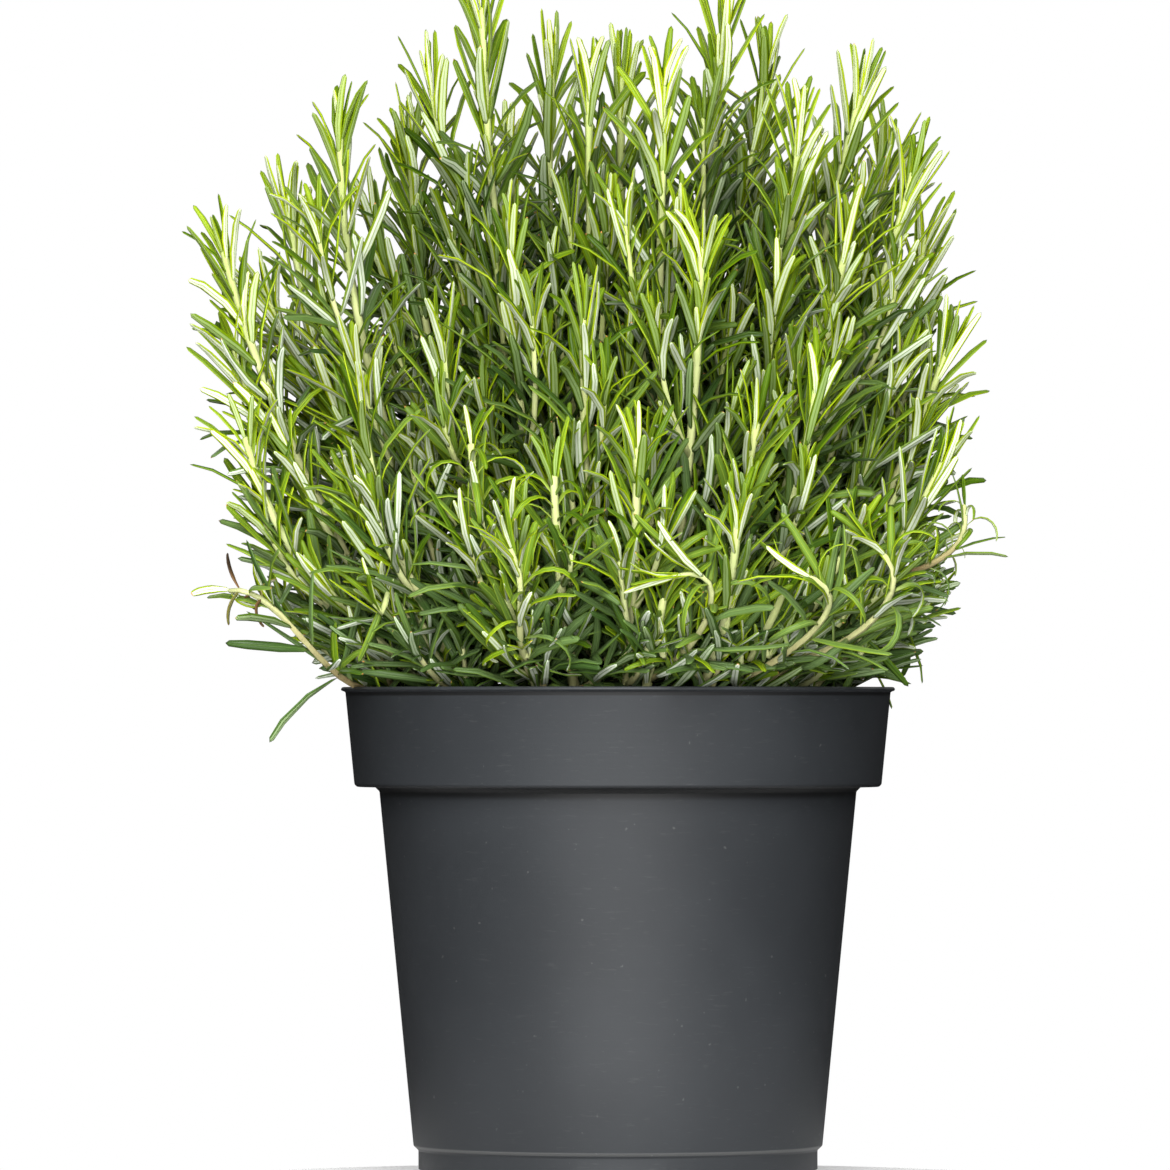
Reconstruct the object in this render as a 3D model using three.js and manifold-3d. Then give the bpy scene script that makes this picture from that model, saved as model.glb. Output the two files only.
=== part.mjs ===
// Potted rosemary in a nursery pot, in millimetres. +Z is up, and the front of the plant faces -Y.
// The pot stands on its foot ring. The leafy stems root in plain holes in the soil and fan out above it.

import * as THREE from 'three';
import { mergeVertices } from 'three/addons/utils/BufferGeometryUtils.js';
import Module from 'manifold-3d';

const wasm = await Module();
wasm.setup();

// Clearance that touching pieces keep
const SEAT_GAP = 0.3;

// Pot, with radii and heights measured on its outside
const POT_HEIGHT = 170.8;
const LIP_RADIUS = 95;
const LIP_DEPTH = 1.7;
const LIP_REACH = 1.5;
const COLLAR_BOTTOM = 136.6;
const COLLAR_BOTTOM_RADIUS = 90.4;
const COLLAR_EDGE = 0.9;
const BODY_TOP_RADIUS = 81.8;
const BODY_BOTTOM_RADIUS = 70.1;
const FOOT_HEIGHT = 13;
const FOOT_RADIUS = 68.4;
const FOOT_CHAMFER = 0.8;
const POT_WALL = 1.5;
const LEDGE_FILLET = 1.6;
const FLOOR_BOTTOM = 6;
const FLOOR_TOP = 7.6;
const POT_SIDES = 40;

// Notches in the foot ring and holes in the floor let water out
const NOTCH_WIDTH = 29;
const NOTCH_HEIGHT = 5.8;
const NOTCH_COUNT = 4;
const DRAIN_RADIUS = 6;
const DRAIN_CIRCLE = 44;
const DRAIN_COUNT = 4;
const DRAIN_SIDES = 10;

// Soil, and the depth to which the stems stand in it
const SOIL_TOP = 158;
const ROOT_DEPTH = 20;

// Stems are square, thick where they root and slim at the tip
const STEM_SIDES = 4;
const STEM_STEPS = 6;
const STEM_ROOT_RADIUS = 1.7;
const STEM_TIP_RADIUS = 1.0;
const STEM_RISE = 14;
const STEM_BEND = 0.5;
const BUD_LENGTH = 13;
const ROOT_SPREAD_HIGH = 0.4;
const ROOT_SPREAD_LOW = 0.57;
const CROWN_LOW = 205;
const CROWN_HIGH = 400;
const ROOT_SWING = 10;

// Needles are three-sided, widest at the middle, and stand on the stem's four faces in turn
const NEEDLE_WIDTH = 2.8;
const NEEDLE_THICKNESS = 1.4;
const NEEDLE_WIDEST = 0.5;
const NEEDLE_SHORT = 18;
const NEEDLE_LONG = 29;
const NEEDLE_SINK = 1;
const NEEDLE_SPACING = 14;
const NEEDLE_TUFT = 4;
const NEEDLE_TUFT_STEP = 0.012;
const NEEDLE_FACES = [45, 225, 135, 315];
const NEEDLE_START = 0.3;
const NEEDLE_DROOP = 0.12;
const NEEDLE_CLEARANCE = 3.1;
const STEM_CLEARANCE = 3.5;
const RIM_CLEARANCE = 2.6;

// Leafy stems of the front and the sides: [x, y, z] of the tip of each spray, and its lean there in degrees,
// outward from the pot's axis
const FRONT_STEMS = [
  [-138, -12, 332, 14],
  [-116, 25, 350, 8],
  [-95, -20, 373, 0],
  [-71, 15, 371, 0],
  [-47, -15, 415, 2],
  [-22, 38, 400, -6],
  [-10, -36, 388, 0],
  [1, 8, 393, 0],
  [15, -58, 386, 0],
  [38, -6, 415, 5],
  [52, 34, 398, 4],
  [62, -42, 373, 4],
  [86, -8, 386, 14],
  [96, 34, 366, 12],
  [104, -26, 358, 16],
  [108, 14, 338, 10],
  [117, -14, 298, 20],
  [112, 44, 276, 24],
  [115, -46, 258, 26],
  [118, 2, 232, 34],
  [98, -60, 214, 44],
  [104, 30, 206, 48],
  [-124, 30, 286, 20],
  [-130, -26, 268, 14],
  [-122, 8, 236, 34],
  [-108, -44, 214, 44],
  [-130, -9, 208, 50],
  [-88, -72, 276, 10],
  [-60, -56, 300, 4],
  [-50, -104, 264, 6],
  [-36, -62, 334, 0],
  [-22, -112, 253, 10],
  [6, -118, 262, 4],
  [-12, -90, 306, 4],
  [28, -84, 330, 4],
  [48, -100, 270, 26],
  [40, -118, 238, 14],
  [68, -84, 284, 12],
  [80, -46, 336, 12],
  [84, -84, 232, 36],
  [58, -108, 210, 46],
  [16, -120, 208, 48],
  [-40, -114, 208, 48],
  [-94, -68, 236, 28],
];

// Rings of leafy stems round the back: tip radius and height, lean, and the arc that they fill in degrees
const BACK_RINGS = [
  { count: 5, radius: 84, height: 362, lean: 8, from: 32, to: 148 },
  { count: 5, radius: 118, height: 300, lean: 20, from: 30, to: 150 },
  { count: 4, radius: 122, height: 232, lean: 38, from: 38, to: 142 },
];
const RING_SCATTER = 9;
const SCATTER_SEED = 12.9898;
const SCATTER_SCALE = 43758.5453;

const UP = new THREE.Vector3(0, 0, 1);

// A repeatable draw from 0 to 1 for each whole number
function scatter(index) {
  const value = Math.sin((index + 1) * SCATTER_SEED) * SCATTER_SCALE;
  return value - Math.floor(value);
}

function mix(from, to, share) {
  return from + (to - from) * share;
}

function clamp01(value) {
  return Math.min(1, Math.max(0, value));
}

function polar(radius, degrees, z) {
  const angle = THREE.MathUtils.degToRad(degrees);
  return new THREE.Vector3(radius * Math.cos(angle), radius * Math.sin(angle), z);
}

// A solid for the boolean library from a closed three.js geometry
function solidOf(geometry) {
  const bare = new THREE.BufferGeometry();
  bare.setAttribute('position', geometry.getAttribute('position'));
  bare.setIndex(geometry.index);
  const welded = mergeVertices(bare, 1e-4);
  const corners = welded.index.array;
  const kept = [];
  for (let i = 0; i < corners.length; i += 3) {
    const [a, b, c] = corners.slice(i, i + 3);
    if (a !== b && b !== c && c !== a) {
      kept.push(a, b, c);
    }
  }
  return new wasm.Manifold(new wasm.Mesh({
    numProp: 3,
    vertProperties: new Float32Array(welded.getAttribute('position').array),
    triVerts: new Uint32Array(kept),
  }));
}

function meshOf(name, solid, material) {
  const data = solid.getMesh();
  const geometry = new THREE.BufferGeometry();
  geometry.setAttribute('position', new THREE.BufferAttribute(data.vertProperties.slice(), 3));
  geometry.setIndex(new THREE.BufferAttribute(data.triVerts.slice(), 1));
  geometry.computeVertexNormals();
  const mesh = new THREE.Mesh(geometry, material);
  mesh.name = name;
  return mesh;
}

// A solid of revolution about the Z axis from [radius, z] points that start and end on the axis
function turned(profile) {
  const points = profile.map(([radius, z]) => new THREE.Vector2(radius, z));
  return solidOf(new THREE.LatheGeometry(points, POT_SIDES).rotateX(Math.PI / 2));
}

// Outer radius of the collar at a height
function collarRadius(z) {
  const share = (z - COLLAR_BOTTOM) / (POT_HEIGHT - LIP_DEPTH - COLLAR_BOTTOM);
  return mix(COLLAR_BOTTOM_RADIUS, LIP_RADIUS - LIP_REACH, share);
}

// Inside line of the pot from its floor up to a height on the collar, moved in by a gap
function insideLine(top, gap) {
  const ledge = COLLAR_BOTTOM + POT_WALL;
  return [
    [FOOT_RADIUS - POT_WALL - gap, FLOOR_TOP],
    [FOOT_RADIUS - POT_WALL - gap, FOOT_HEIGHT - POT_WALL + gap],
    [BODY_BOTTOM_RADIUS - POT_WALL - gap, FOOT_HEIGHT + gap],
    [BODY_TOP_RADIUS - POT_WALL - gap, ledge + gap],
    [collarRadius(ledge) - POT_WALL - gap, ledge + gap],
    [collarRadius(top) - POT_WALL - gap, top],
  ];
}

function potProfile() {
  const lipBottom = POT_HEIGHT - LIP_DEPTH;
  const footInside = FOOT_RADIUS - POT_WALL;
  const outside = [
    [0, FLOOR_BOTTOM],
    [footInside, FLOOR_BOTTOM],
    [footInside, 0],
    [FOOT_RADIUS - FOOT_CHAMFER, 0],
    [FOOT_RADIUS, FOOT_CHAMFER],
    [FOOT_RADIUS, FOOT_HEIGHT - FOOT_CHAMFER],
    [BODY_BOTTOM_RADIUS, FOOT_HEIGHT + FOOT_CHAMFER],
    [BODY_TOP_RADIUS, COLLAR_BOTTOM - LEDGE_FILLET],
    [BODY_TOP_RADIUS + LEDGE_FILLET, COLLAR_BOTTOM],
    [COLLAR_BOTTOM_RADIUS - COLLAR_EDGE, COLLAR_BOTTOM],
    [COLLAR_BOTTOM_RADIUS, COLLAR_BOTTOM + COLLAR_EDGE],
    [LIP_RADIUS - LIP_REACH, lipBottom],
    [LIP_RADIUS, lipBottom + LIP_DEPTH * 0.3],
    [LIP_RADIUS, POT_HEIGHT - LIP_DEPTH * 0.3],
    [LIP_RADIUS - LIP_DEPTH * 0.3, POT_HEIGHT],
    [collarRadius(lipBottom) - POT_WALL, POT_HEIGHT],
  ];
  const inside = insideLine(lipBottom, 0).reverse();
  return [...outside, ...inside, [0, FLOOR_TOP]];
}

function notch(index) {
  const box = new THREE.BoxGeometry(FOOT_RADIUS / 2, NOTCH_WIDTH, NOTCH_HEIGHT * 2);
  box.translate(FOOT_RADIUS, 0, 0);
  box.rotateZ((index / NOTCH_COUNT) * 2 * Math.PI + Math.PI / 2);
  return solidOf(box);
}

function drainHole(index) {
  const centre = polar(DRAIN_CIRCLE, ((index + 0.5) / DRAIN_COUNT) * 360, FLOOR_TOP);
  const hole = new THREE.CylinderGeometry(DRAIN_RADIUS, DRAIN_RADIUS, FLOOR_TOP, DRAIN_SIDES);
  return solidOf(hole.rotateX(Math.PI / 2).translate(centre.x, centre.y, centre.z));
}

function buildPot() {
  let pot = turned(potProfile());
  for (let i = 0; i < NOTCH_COUNT; i += 1) {
    pot = pot.subtract(notch(i));
  }
  for (let i = 0; i < DRAIN_COUNT; i += 1) {
    pot = pot.subtract(drainHole(i));
  }
  return pot;
}

// A plain square hole that clears the root of a stem
function stemHole(stem) {
  const radius = STEM_ROOT_RADIUS + SEAT_GAP * Math.SQRT2;
  const depth = ROOT_DEPTH + SEAT_GAP;
  const hole = new THREE.CylinderGeometry(radius, radius, depth * 2, STEM_SIDES);
  hole.rotateX(Math.PI / 2).rotateZ(Math.atan2(stem.side.y, stem.side.x));
  return solidOf(hole.translate(stem.curve.v0.x, stem.curve.v0.y, SOIL_TOP));
}

function buildSoil(stems) {
  let soil = turned([[0, FLOOR_TOP], ...insideLine(SOIL_TOP, SEAT_GAP), [0, SOIL_TOP]]);
  for (const stem of stems) {
    soil = soil.subtract(stemHole(stem));
  }
  return soil;
}

// Tips of the stems round the back, ring by ring
function backStems() {
  const tips = [];
  for (const ring of BACK_RINGS) {
    for (let i = 0; i < ring.count; i += 1) {
      const draw = tips.length * 3;
      const degrees = mix(ring.from, ring.to, i / (ring.count - 1));
      const radius = ring.radius + (scatter(draw) - 0.5) * RING_SCATTER;
      const height = ring.height + (scatter(draw + 1) - 0.5) * RING_SCATTER * 3;
      const tip = polar(radius, degrees + (scatter(draw + 2) - 0.5) * RING_SCATTER, height);
      tips.push([tip.x, tip.y, tip.z, ring.lean]);
    }
  }
  return tips;
}

// A stem lies in one upright plane: it rises from the soil, leans out and turns up towards its tip
function stemFromTip([x, y, z, lean], index) {
  const spread = mix(ROOT_SPREAD_LOW, ROOT_SPREAD_HIGH, clamp01((z - CROWN_LOW) / (CROWN_HIGH - CROWN_LOW)));
  const around = THREE.MathUtils.radToDeg(Math.atan2(y, x)) + (scatter(index) - 0.5) * ROOT_SWING;
  const root = polar(Math.hypot(x, y) * spread, around, SOIL_TOP);
  const outward = new THREE.Vector3(x - root.x, y - root.y, 0).normalize();
  const angle = THREE.MathUtils.degToRad(lean);
  const direction = outward.clone().multiplyScalar(Math.sin(angle)).addScaledVector(UP, Math.cos(angle));
  const end = new THREE.Vector3(x, y, z).addScaledVector(direction, -BUD_LENGTH);
  const reach = end.distanceTo(root);
  const rise = root.clone().addScaledVector(UP, STEM_RISE);
  const turn = end.clone().addScaledVector(direction, -reach * STEM_BEND);
  const curve = new THREE.CubicBezierCurve3(root, rise, turn, end);
  return { curve, side: new THREE.Vector3().crossVectors(UP, outward), length: curve.getLength() };
}

// Axes across a stem at a point on its curve
function frameAt(stem, share) {
  const along = stem.curve.getTangent(share);
  return { along, side: stem.side, across: new THREE.Vector3().crossVectors(stem.side, along) };
}

function stemSolid(stem) {
  const rows = STEM_STEPS + 1;
  const geometry = new THREE.CylinderGeometry(1, 1, 1, STEM_SIDES, rows);
  const position = geometry.getAttribute('position');
  for (let i = 0; i < position.count; i += 1) {
    const row = Math.round((position.getY(i) + 0.5) * rows);
    const share = Math.max(0, row - 1) / STEM_STEPS;
    const frame = frameAt(stem, share);
    const radius = mix(STEM_ROOT_RADIUS, STEM_TIP_RADIUS, share);
    const point = stem.curve.getPoint(share);
    if (row === 0) {
      point.z -= ROOT_DEPTH;
    }
    point.addScaledVector(frame.side, position.getX(i) * radius);
    point.addScaledVector(frame.across, position.getZ(i) * radius);
    position.setXYZ(i, point.x, point.y, point.z);
  }
  return solidOf(geometry);
}

// A needle in its own axes: along Y, flat across X, drooping away from Z
function needleGeometry(length) {
  const radius = NEEDLE_WIDTH / Math.sqrt(3);
  const profile = [[0, -NEEDLE_SINK], [radius, length * NEEDLE_WIDEST], [0, length]];
  const geometry = new THREE.LatheGeometry(profile.map(([r, y]) => new THREE.Vector2(r, y)), 3);
  geometry.scale(1, 1, NEEDLE_THICKNESS / (1.5 * radius));
  const position = geometry.getAttribute('position');
  for (let i = 0; i < position.count; i += 1) {
    const share = position.getY(i) / length;
    position.setZ(i, position.getZ(i) - NEEDLE_DROOP * length * share * share);
  }
  return geometry;
}

// Places a needle on a stem: share along it, degrees round it and degrees away from it
function needleMatrix(stem, share, around, spread) {
  const frame = frameAt(stem, share);
  const turn = THREE.MathUtils.degToRad(around);
  const open = THREE.MathUtils.degToRad(spread);
  const radial = frame.side.clone().multiplyScalar(Math.cos(turn));
  radial.addScaledVector(frame.across, Math.sin(turn));
  const direction = frame.along.clone().multiplyScalar(Math.cos(open));
  direction.addScaledVector(radial, Math.sin(open));
  const upper = frame.along.clone().multiplyScalar(Math.sin(open));
  upper.addScaledVector(radial, -Math.cos(open));
  const across = new THREE.Vector3().crossVectors(direction, upper);
  const matrix = new THREE.Matrix4().makeBasis(across, direction, upper);
  return matrix.setPosition(stem.curve.getPoint(share));
}

// Points along the middle line of a placed needle
function needleLine(matrix, length) {
  const steps = 8;
  const line = [];
  for (let i = 0; i <= steps; i += 1) {
    const share = i / steps;
    line.push(new THREE.Vector3(0, length * share, -NEEDLE_DROOP * length * share * share));
  }
  return line.map((point) => point.applyMatrix4(matrix));
}

function distanceToLine(point, line) {
  const piece = new THREE.Line3();
  const nearest = new THREE.Vector3();
  let least = Infinity;
  for (let i = 1; i < line.length; i += 1) {
    piece.set(line[i - 1], line[i]);
    piece.closestPointToPoint(point, true, nearest);
    least = Math.min(least, nearest.distanceTo(point));
  }
  return least;
}

// True where a needle clears the pot, the soil and every other stem with its needles
function isClear(line, stem, stems) {
  for (const point of line) {
    const radius = Math.hypot(point.x, point.y);
    const overRim = radius > collarRadius(SOIL_TOP) - POT_WALL - RIM_CLEARANCE;
    const lowest = overRim ? POT_HEIGHT : SOIL_TOP;
    if (point.z < lowest + RIM_CLEARANCE) {
      return false;
    }
  }
  return stems.every((other) => other === stem || line.every((point) => (
    distanceToLine(point, other.line) > STEM_CLEARANCE
    && other.needles.every((needle) => distanceToLine(point, needle.line) > NEEDLE_CLEARANCE)
  )));
}

// Shares along a stem at which its needles root: a tuft at the tip, then evenly down
function needleShares(stem) {
  const leafy = stem.length * (1 - NEEDLE_START);
  const count = NEEDLE_TUFT + Math.round(leafy / NEEDLE_SPACING);
  const shares = [];
  for (let i = 0; i < count; i += 1) {
    const tuft = 1 - (i + 1) * NEEDLE_TUFT_STEP;
    const down = clamp01((i - NEEDLE_TUFT + 1) / (count - NEEDLE_TUFT));
    shares.push(i < NEEDLE_TUFT ? tuft : mix(1 - NEEDLE_TUFT * NEEDLE_TUFT_STEP, NEEDLE_START, down));
  }
  return shares;
}

// Adds the needles of one stem, each turned or closed a little where it would meet something else
function addNeedles(stem, stems, index) {
  const turns = [0, 14, -14, 28, -28];
  const closings = [1, 0.75, 0.5, 0.3];
  needleShares(stem).forEach((share, i) => {
    const draw = scatter(index * 40 + i);
    const length = mix(NEEDLE_SHORT, NEEDLE_LONG, Math.sin(Math.PI * clamp01(1.35 - share)) * 0.7 + draw * 0.3);
    const spread = mix(62, 16, share * share) + draw * 12 - 6;
    const face = NEEDLE_FACES[i % NEEDLE_FACES.length];
    for (const closing of closings) {
      for (const turn of turns) {
        const matrix = needleMatrix(stem, share, face + turn, spread * closing);
        const line = needleLine(matrix, length);
        if (isClear(line, stem, stems)) {
          stem.needles.push({ matrix, line, length });
          return;
        }
      }
    }
  });
}

function buildStems() {
  const stems = [...FRONT_STEMS, ...backStems()].map(stemFromTip);
  for (const stem of stems) {
    stem.line = stem.curve.getPoints(STEM_STEPS * 2);
    stem.needles = [];
  }
  stems.forEach((stem, index) => addNeedles(stem, stems, index));
  return stems;
}

function leafySolid(stem) {
  return stem.needles.reduce(
    (solid, needle) => solid.add(solidOf(needleGeometry(needle.length).applyMatrix4(needle.matrix))),
    stemSolid(stem),
  );
}

function potMaterial() {
  return new THREE.MeshStandardMaterial({ color: 0x2b2d30, roughness: 0.55 });
}

function soilMaterial() {
  return new THREE.MeshStandardMaterial({ color: 0x3a2a1e, roughness: 0.95 });
}

function leafMaterial() {
  return new THREE.MeshStandardMaterial({ color: 0x6f8f3a, roughness: 0.5 });
}

function buildPlant() {
  const plant = new THREE.Group();
  const stems = buildStems();
  plant.add(meshOf('pot', buildPot(), potMaterial()));
  plant.add(meshOf('soil', buildSoil(stems), soilMaterial()));
  stems.forEach((stem, index) => {
    const name = `leafy_stem_${String(index + 1).padStart(2, '0')}`;
    plant.add(meshOf(name, leafySolid(stem), leafMaterial()));
  });
  return plant;
}

// Moves the whole so that its bounds are centred over the origin and it stands at height zero
function centred(plant) {
  const centre = new THREE.Box3().setFromObject(plant).getCenter(new THREE.Vector3());
  for (const mesh of plant.children) {
    mesh.geometry.translate(-centre.x, -centre.y, 0);
  }
  return plant;
}

const group = centred(buildPlant());

export default group;
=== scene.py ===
"""A bushy rosemary plant in a dark nursery pot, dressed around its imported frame."""

from __future__ import annotations

import logging
import math
import random
from dataclasses import dataclass, field, replace
from enum import Enum
from typing import Any, Callable, Sequence

import bmesh
import bpy
from mathutils import Matrix, Vector, noise

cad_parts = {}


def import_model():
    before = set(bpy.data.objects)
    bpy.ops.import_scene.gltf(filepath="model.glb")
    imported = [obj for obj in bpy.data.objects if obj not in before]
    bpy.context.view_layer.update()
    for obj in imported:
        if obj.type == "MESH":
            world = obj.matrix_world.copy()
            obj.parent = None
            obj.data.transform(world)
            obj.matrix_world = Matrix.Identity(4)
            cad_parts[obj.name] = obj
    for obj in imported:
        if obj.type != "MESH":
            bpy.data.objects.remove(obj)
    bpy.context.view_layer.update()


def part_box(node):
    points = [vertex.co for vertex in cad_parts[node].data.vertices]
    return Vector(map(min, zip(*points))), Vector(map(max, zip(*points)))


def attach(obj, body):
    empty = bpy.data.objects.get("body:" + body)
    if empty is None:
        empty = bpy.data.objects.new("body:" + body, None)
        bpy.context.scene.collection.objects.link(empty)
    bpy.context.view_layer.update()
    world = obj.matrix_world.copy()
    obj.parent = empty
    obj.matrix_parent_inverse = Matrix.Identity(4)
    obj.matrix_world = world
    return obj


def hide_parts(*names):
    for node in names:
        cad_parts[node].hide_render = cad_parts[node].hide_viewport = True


LOG = logging.getLogger("rosemary")
MM = 0.001
WELD = 1e-6
SEED = 4926
UP = Vector((0.0, 0.0, 1.0))
BODY = "root"
LEAF_MAP = "leaf"
TONE = "tone"
LEAF_WIDTH = 3.0

Colour = tuple[float, float, float]
Place = tuple[float, float, float]
Range = tuple[float, float]
Tone = tuple[float, float, float, float]
Steps = Sequence[tuple[float, float]]


def mix(start: float, stop: float, share: float) -> float:
    """Returns the value that lies a share of the way from start to stop."""
    return start + (stop - start) * share


def clamp(value: float) -> float:
    """Returns a value held between 0 and 1."""
    return min(1.0, max(0.0, value))


def along_steps(value: float, steps: Steps) -> float:
    """Reads a line of straight stretches.

    Args:
        value: Where to read it.
        steps: Its corners as (where, height), in rising order.

    Returns:
        The height there, level before the first corner and after the last.
    """
    if value <= steps[0][0]:
        return steps[0][1]
    for (left, low), (right, high) in zip(steps, steps[1:]):
        if value <= right:
            return mix(low, high, (value - left) / (right - left))
    return steps[-1][1]


def polar(radius: float, degrees: float, height: float) -> Vector:
    """Returns a point from its distance to the pot's axis, its bearing and its height."""
    angle = math.radians(degrees)
    return Vector((radius * math.cos(angle), radius * math.sin(angle), height))


def warp_tube(
    bm: bmesh.types.BMesh, around: int, along: int, place: Callable[[float, float], Vector]
) -> list[bmesh.types.BMVert]:
    """Adds a grid bent into a closed tube whose ends run together.

    Args:
        bm: The mesh that the tube goes into.
        around: Faces around the tube.
        along: Faces along the tube.
        place: Gives the point for a share around and a share along.

    Returns:
        The tube's vertices.
    """
    made = bmesh.ops.create_grid(bm, x_segments=around, y_segments=along, size=0.5, calc_uvs=True)
    for vert in made["verts"]:
        vert.co = place(vert.co.x + 0.5, vert.co.y + 0.5)
    bmesh.ops.remove_doubles(bm, verts=made["verts"], dist=WELD)
    verts = [vert for vert in made["verts"] if vert.is_valid]
    faces = list(dict.fromkeys(face for vert in verts for face in vert.link_faces))
    bmesh.ops.recalc_face_normals(bm, faces=faces)
    for face in faces:
        face.smooth = True
    return verts


def crease(bm: bmesh.types.BMesh, degrees: float) -> None:
    """Shades a mesh smooth, but for its sharp edges.

    Args:
        bm: The mesh.
        degrees: The turn from which an edge is sharp.
    """
    for face in bm.faces:
        face.smooth = True
    for edge in bm.edges:
        edge.smooth = edge.calc_face_angle(0.0) < math.radians(degrees)


def add_object(name: str, bm: bmesh.types.BMesh, materials: list[bpy.types.Material]) -> bpy.types.Object:
    """Makes a scene object of a finished bmesh in metres and frees the bmesh.

    Args:
        name: The object's name.
        bm: Its mesh, with its place in its vertices.
        materials: Its materials, in slot order.

    Returns:
        The new object, at the origin.
    """
    mesh = bpy.data.meshes.new(name)
    bm.to_mesh(mesh)
    bm.free()
    for material in materials:
        mesh.materials.append(material)
    made = bpy.data.objects.new(name, mesh)
    bpy.context.scene.collection.objects.link(made)
    return made


def add_piece(made: bpy.types.Object, node: str) -> None:
    """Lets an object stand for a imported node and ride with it.

    Args:
        made: The object.
        node: The node.
    """
    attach(made, BODY)
    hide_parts(node)


class Value:
    """A shader socket in arithmetic: each operation on it adds a Math node."""

    def __init__(self, tree: ShaderTree, socket: bpy.types.NodeSocket) -> None:
        """Keeps the socket and the tree that its nodes go into."""
        self.tree = tree
        self.socket = socket

    def __add__(self, other: Value | float) -> Value:
        """Returns the sum."""
        return self.tree.math("ADD", self, other)

    def __sub__(self, other: Value | float) -> Value:
        """Returns the difference."""
        return self.tree.math("SUBTRACT", self, other)

    def __rsub__(self, other: float) -> Value:
        """Returns a number less this value."""
        return self.tree.math("SUBTRACT", other, self)

    def __mul__(self, other: Value | float) -> Value:
        """Returns the product."""
        return self.tree.math("MULTIPLY", self, other)

    __radd__ = __add__
    __rmul__ = __mul__

    def __abs__(self) -> Value:
        """Returns the value without its sign."""
        return self.tree.math("ABSOLUTE", self)

    def rise(self, low: float, high: float) -> Value:
        """Returns a smooth step from 0 at low to 1 at high."""
        settings = {"interpolation_type": "SMOOTHSTEP"}
        return self.tree.value("ShaderNodeMapRange", settings, {0: self, 1: low, 2: high})

    def band(self, centre: float, half: float, soft: float) -> Value:
        """Returns 1 within half of the centre, falling to 0 over a soft edge."""
        return 1.0 - abs(self - centre).rise(half, half + soft)


class ShaderTree:
    """Builds the nodes of one material or world."""

    def __init__(self, owner: bpy.types.Material | bpy.types.World) -> None:
        """Clears a node tree.

        Args:
            owner: The material or world that has it.
        """
        owner.use_nodes = True
        self.tree = owner.node_tree
        self.tree.nodes.clear()

    def node(self, kind: str, settings: dict[str, Any], inputs: dict[int | str, Any]) -> bpy.types.Node:
        """Adds a node.

        Args:
            kind: The node's type.
            settings: Its properties, which are set first.
            inputs: A value or a link for each socket, by name or place.

        Returns:
            The node.
        """
        made = self.tree.nodes.new(kind)
        for name, setting in settings.items():
            setattr(made, name, setting)
        for key, value in inputs.items():
            self.feed(made.inputs[key], value)
        return made

    def feed(self, socket: bpy.types.NodeSocket, value: Any) -> None:
        """Gives an input what it reads.

        Args:
            socket: The input.
            value: A value or a socket to link, or what to set.
        """
        source = value.socket if isinstance(value, Value) else value
        if isinstance(source, bpy.types.NodeSocket):
            self.tree.links.new(source, socket)
        elif socket.type == "RGBA" and len(source) == 3:
            socket.default_value = (*source, 1.0)
        else:
            socket.default_value = source

    def value(self, kind: str, settings: dict[str, Any], inputs: dict[int | str, Any]) -> Value:
        """Adds a node and returns its first result."""
        return Value(self, self.node(kind, settings, inputs).outputs[0])

    def math(self, operation: str, *values: Value | float) -> Value:
        """Adds a Math node and returns its result."""
        return self.value("ShaderNodeMath", {"operation": operation}, dict(enumerate(values)))

    def blend(self, share: Value | float, start: Any, stop: Any, mode: str = "MIX") -> bpy.types.NodeSocket:
        """Returns one colour with a share of another over it, laid on as the mode says."""
        settings = {"data_type": "RGBA", "blend_type": mode}
        return self.node("ShaderNodeMix", settings, {0: share, 6: start, 7: stop}).outputs[2]

    def place(self, stretch: Place = (1.0, 1.0, 1.0)) -> bpy.types.NodeSocket:
        """Returns the place in the piece's own coordinates, with each axis multiplied."""
        where = self.node("ShaderNodeTexCoord", {}, {}).outputs["Object"]
        return self.node("ShaderNodeVectorMath", {"operation": "MULTIPLY"}, {0: where, 1: stretch}).outputs[0]

    def split(self, vector: bpy.types.NodeSocket) -> list[Value]:
        """Returns the three numbers of a vector or a colour."""
        made = self.node("ShaderNodeSeparateXYZ", {}, {0: vector})
        return [Value(self, socket) for socket in made.outputs]

    def tones(self) -> list[Value]:
        """Returns what a plant mesh notes at its vertices: chance, age, dryness and depth in the plant."""
        made = self.node("ShaderNodeAttribute", {"attribute_name": TONE}, {})
        return [*self.split(made.outputs["Vector"]), Value(self, made.outputs["Alpha"])]

    def noise(self, where: bpy.types.NodeSocket, scale: float, detail: float = 3.0) -> Value:
        """Returns a noise from 0 to 1 at a place."""
        return self.value("ShaderNodeTexNoise", {}, {"Vector": where, "Scale": scale, "Detail": detail})

    def streaks(self, stretch: Place, detail: float = 2.0) -> Value:
        """Returns a noise from 0 to 1 with a scale for each axis."""
        return self.noise(self.place(stretch), 1.0, detail)

    def bump(self, height: Value, depth: float, strength: float) -> bpy.types.NodeSocket:
        """Returns the normal over a height of up to a depth in metres."""
        inputs = {"Height": height, "Distance": depth, "Strength": strength}
        return self.node("ShaderNodeBump", {}, inputs).outputs[0]

    def surface(self, inputs: dict[int | str, Any]) -> None:
        """Ends the tree in a principled shader with these inputs."""
        shader = self.node("ShaderNodeBsdfPrincipled", {}, inputs)
        self.node("ShaderNodeOutputMaterial", {}, {"Surface": shader.outputs[0]})


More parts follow.
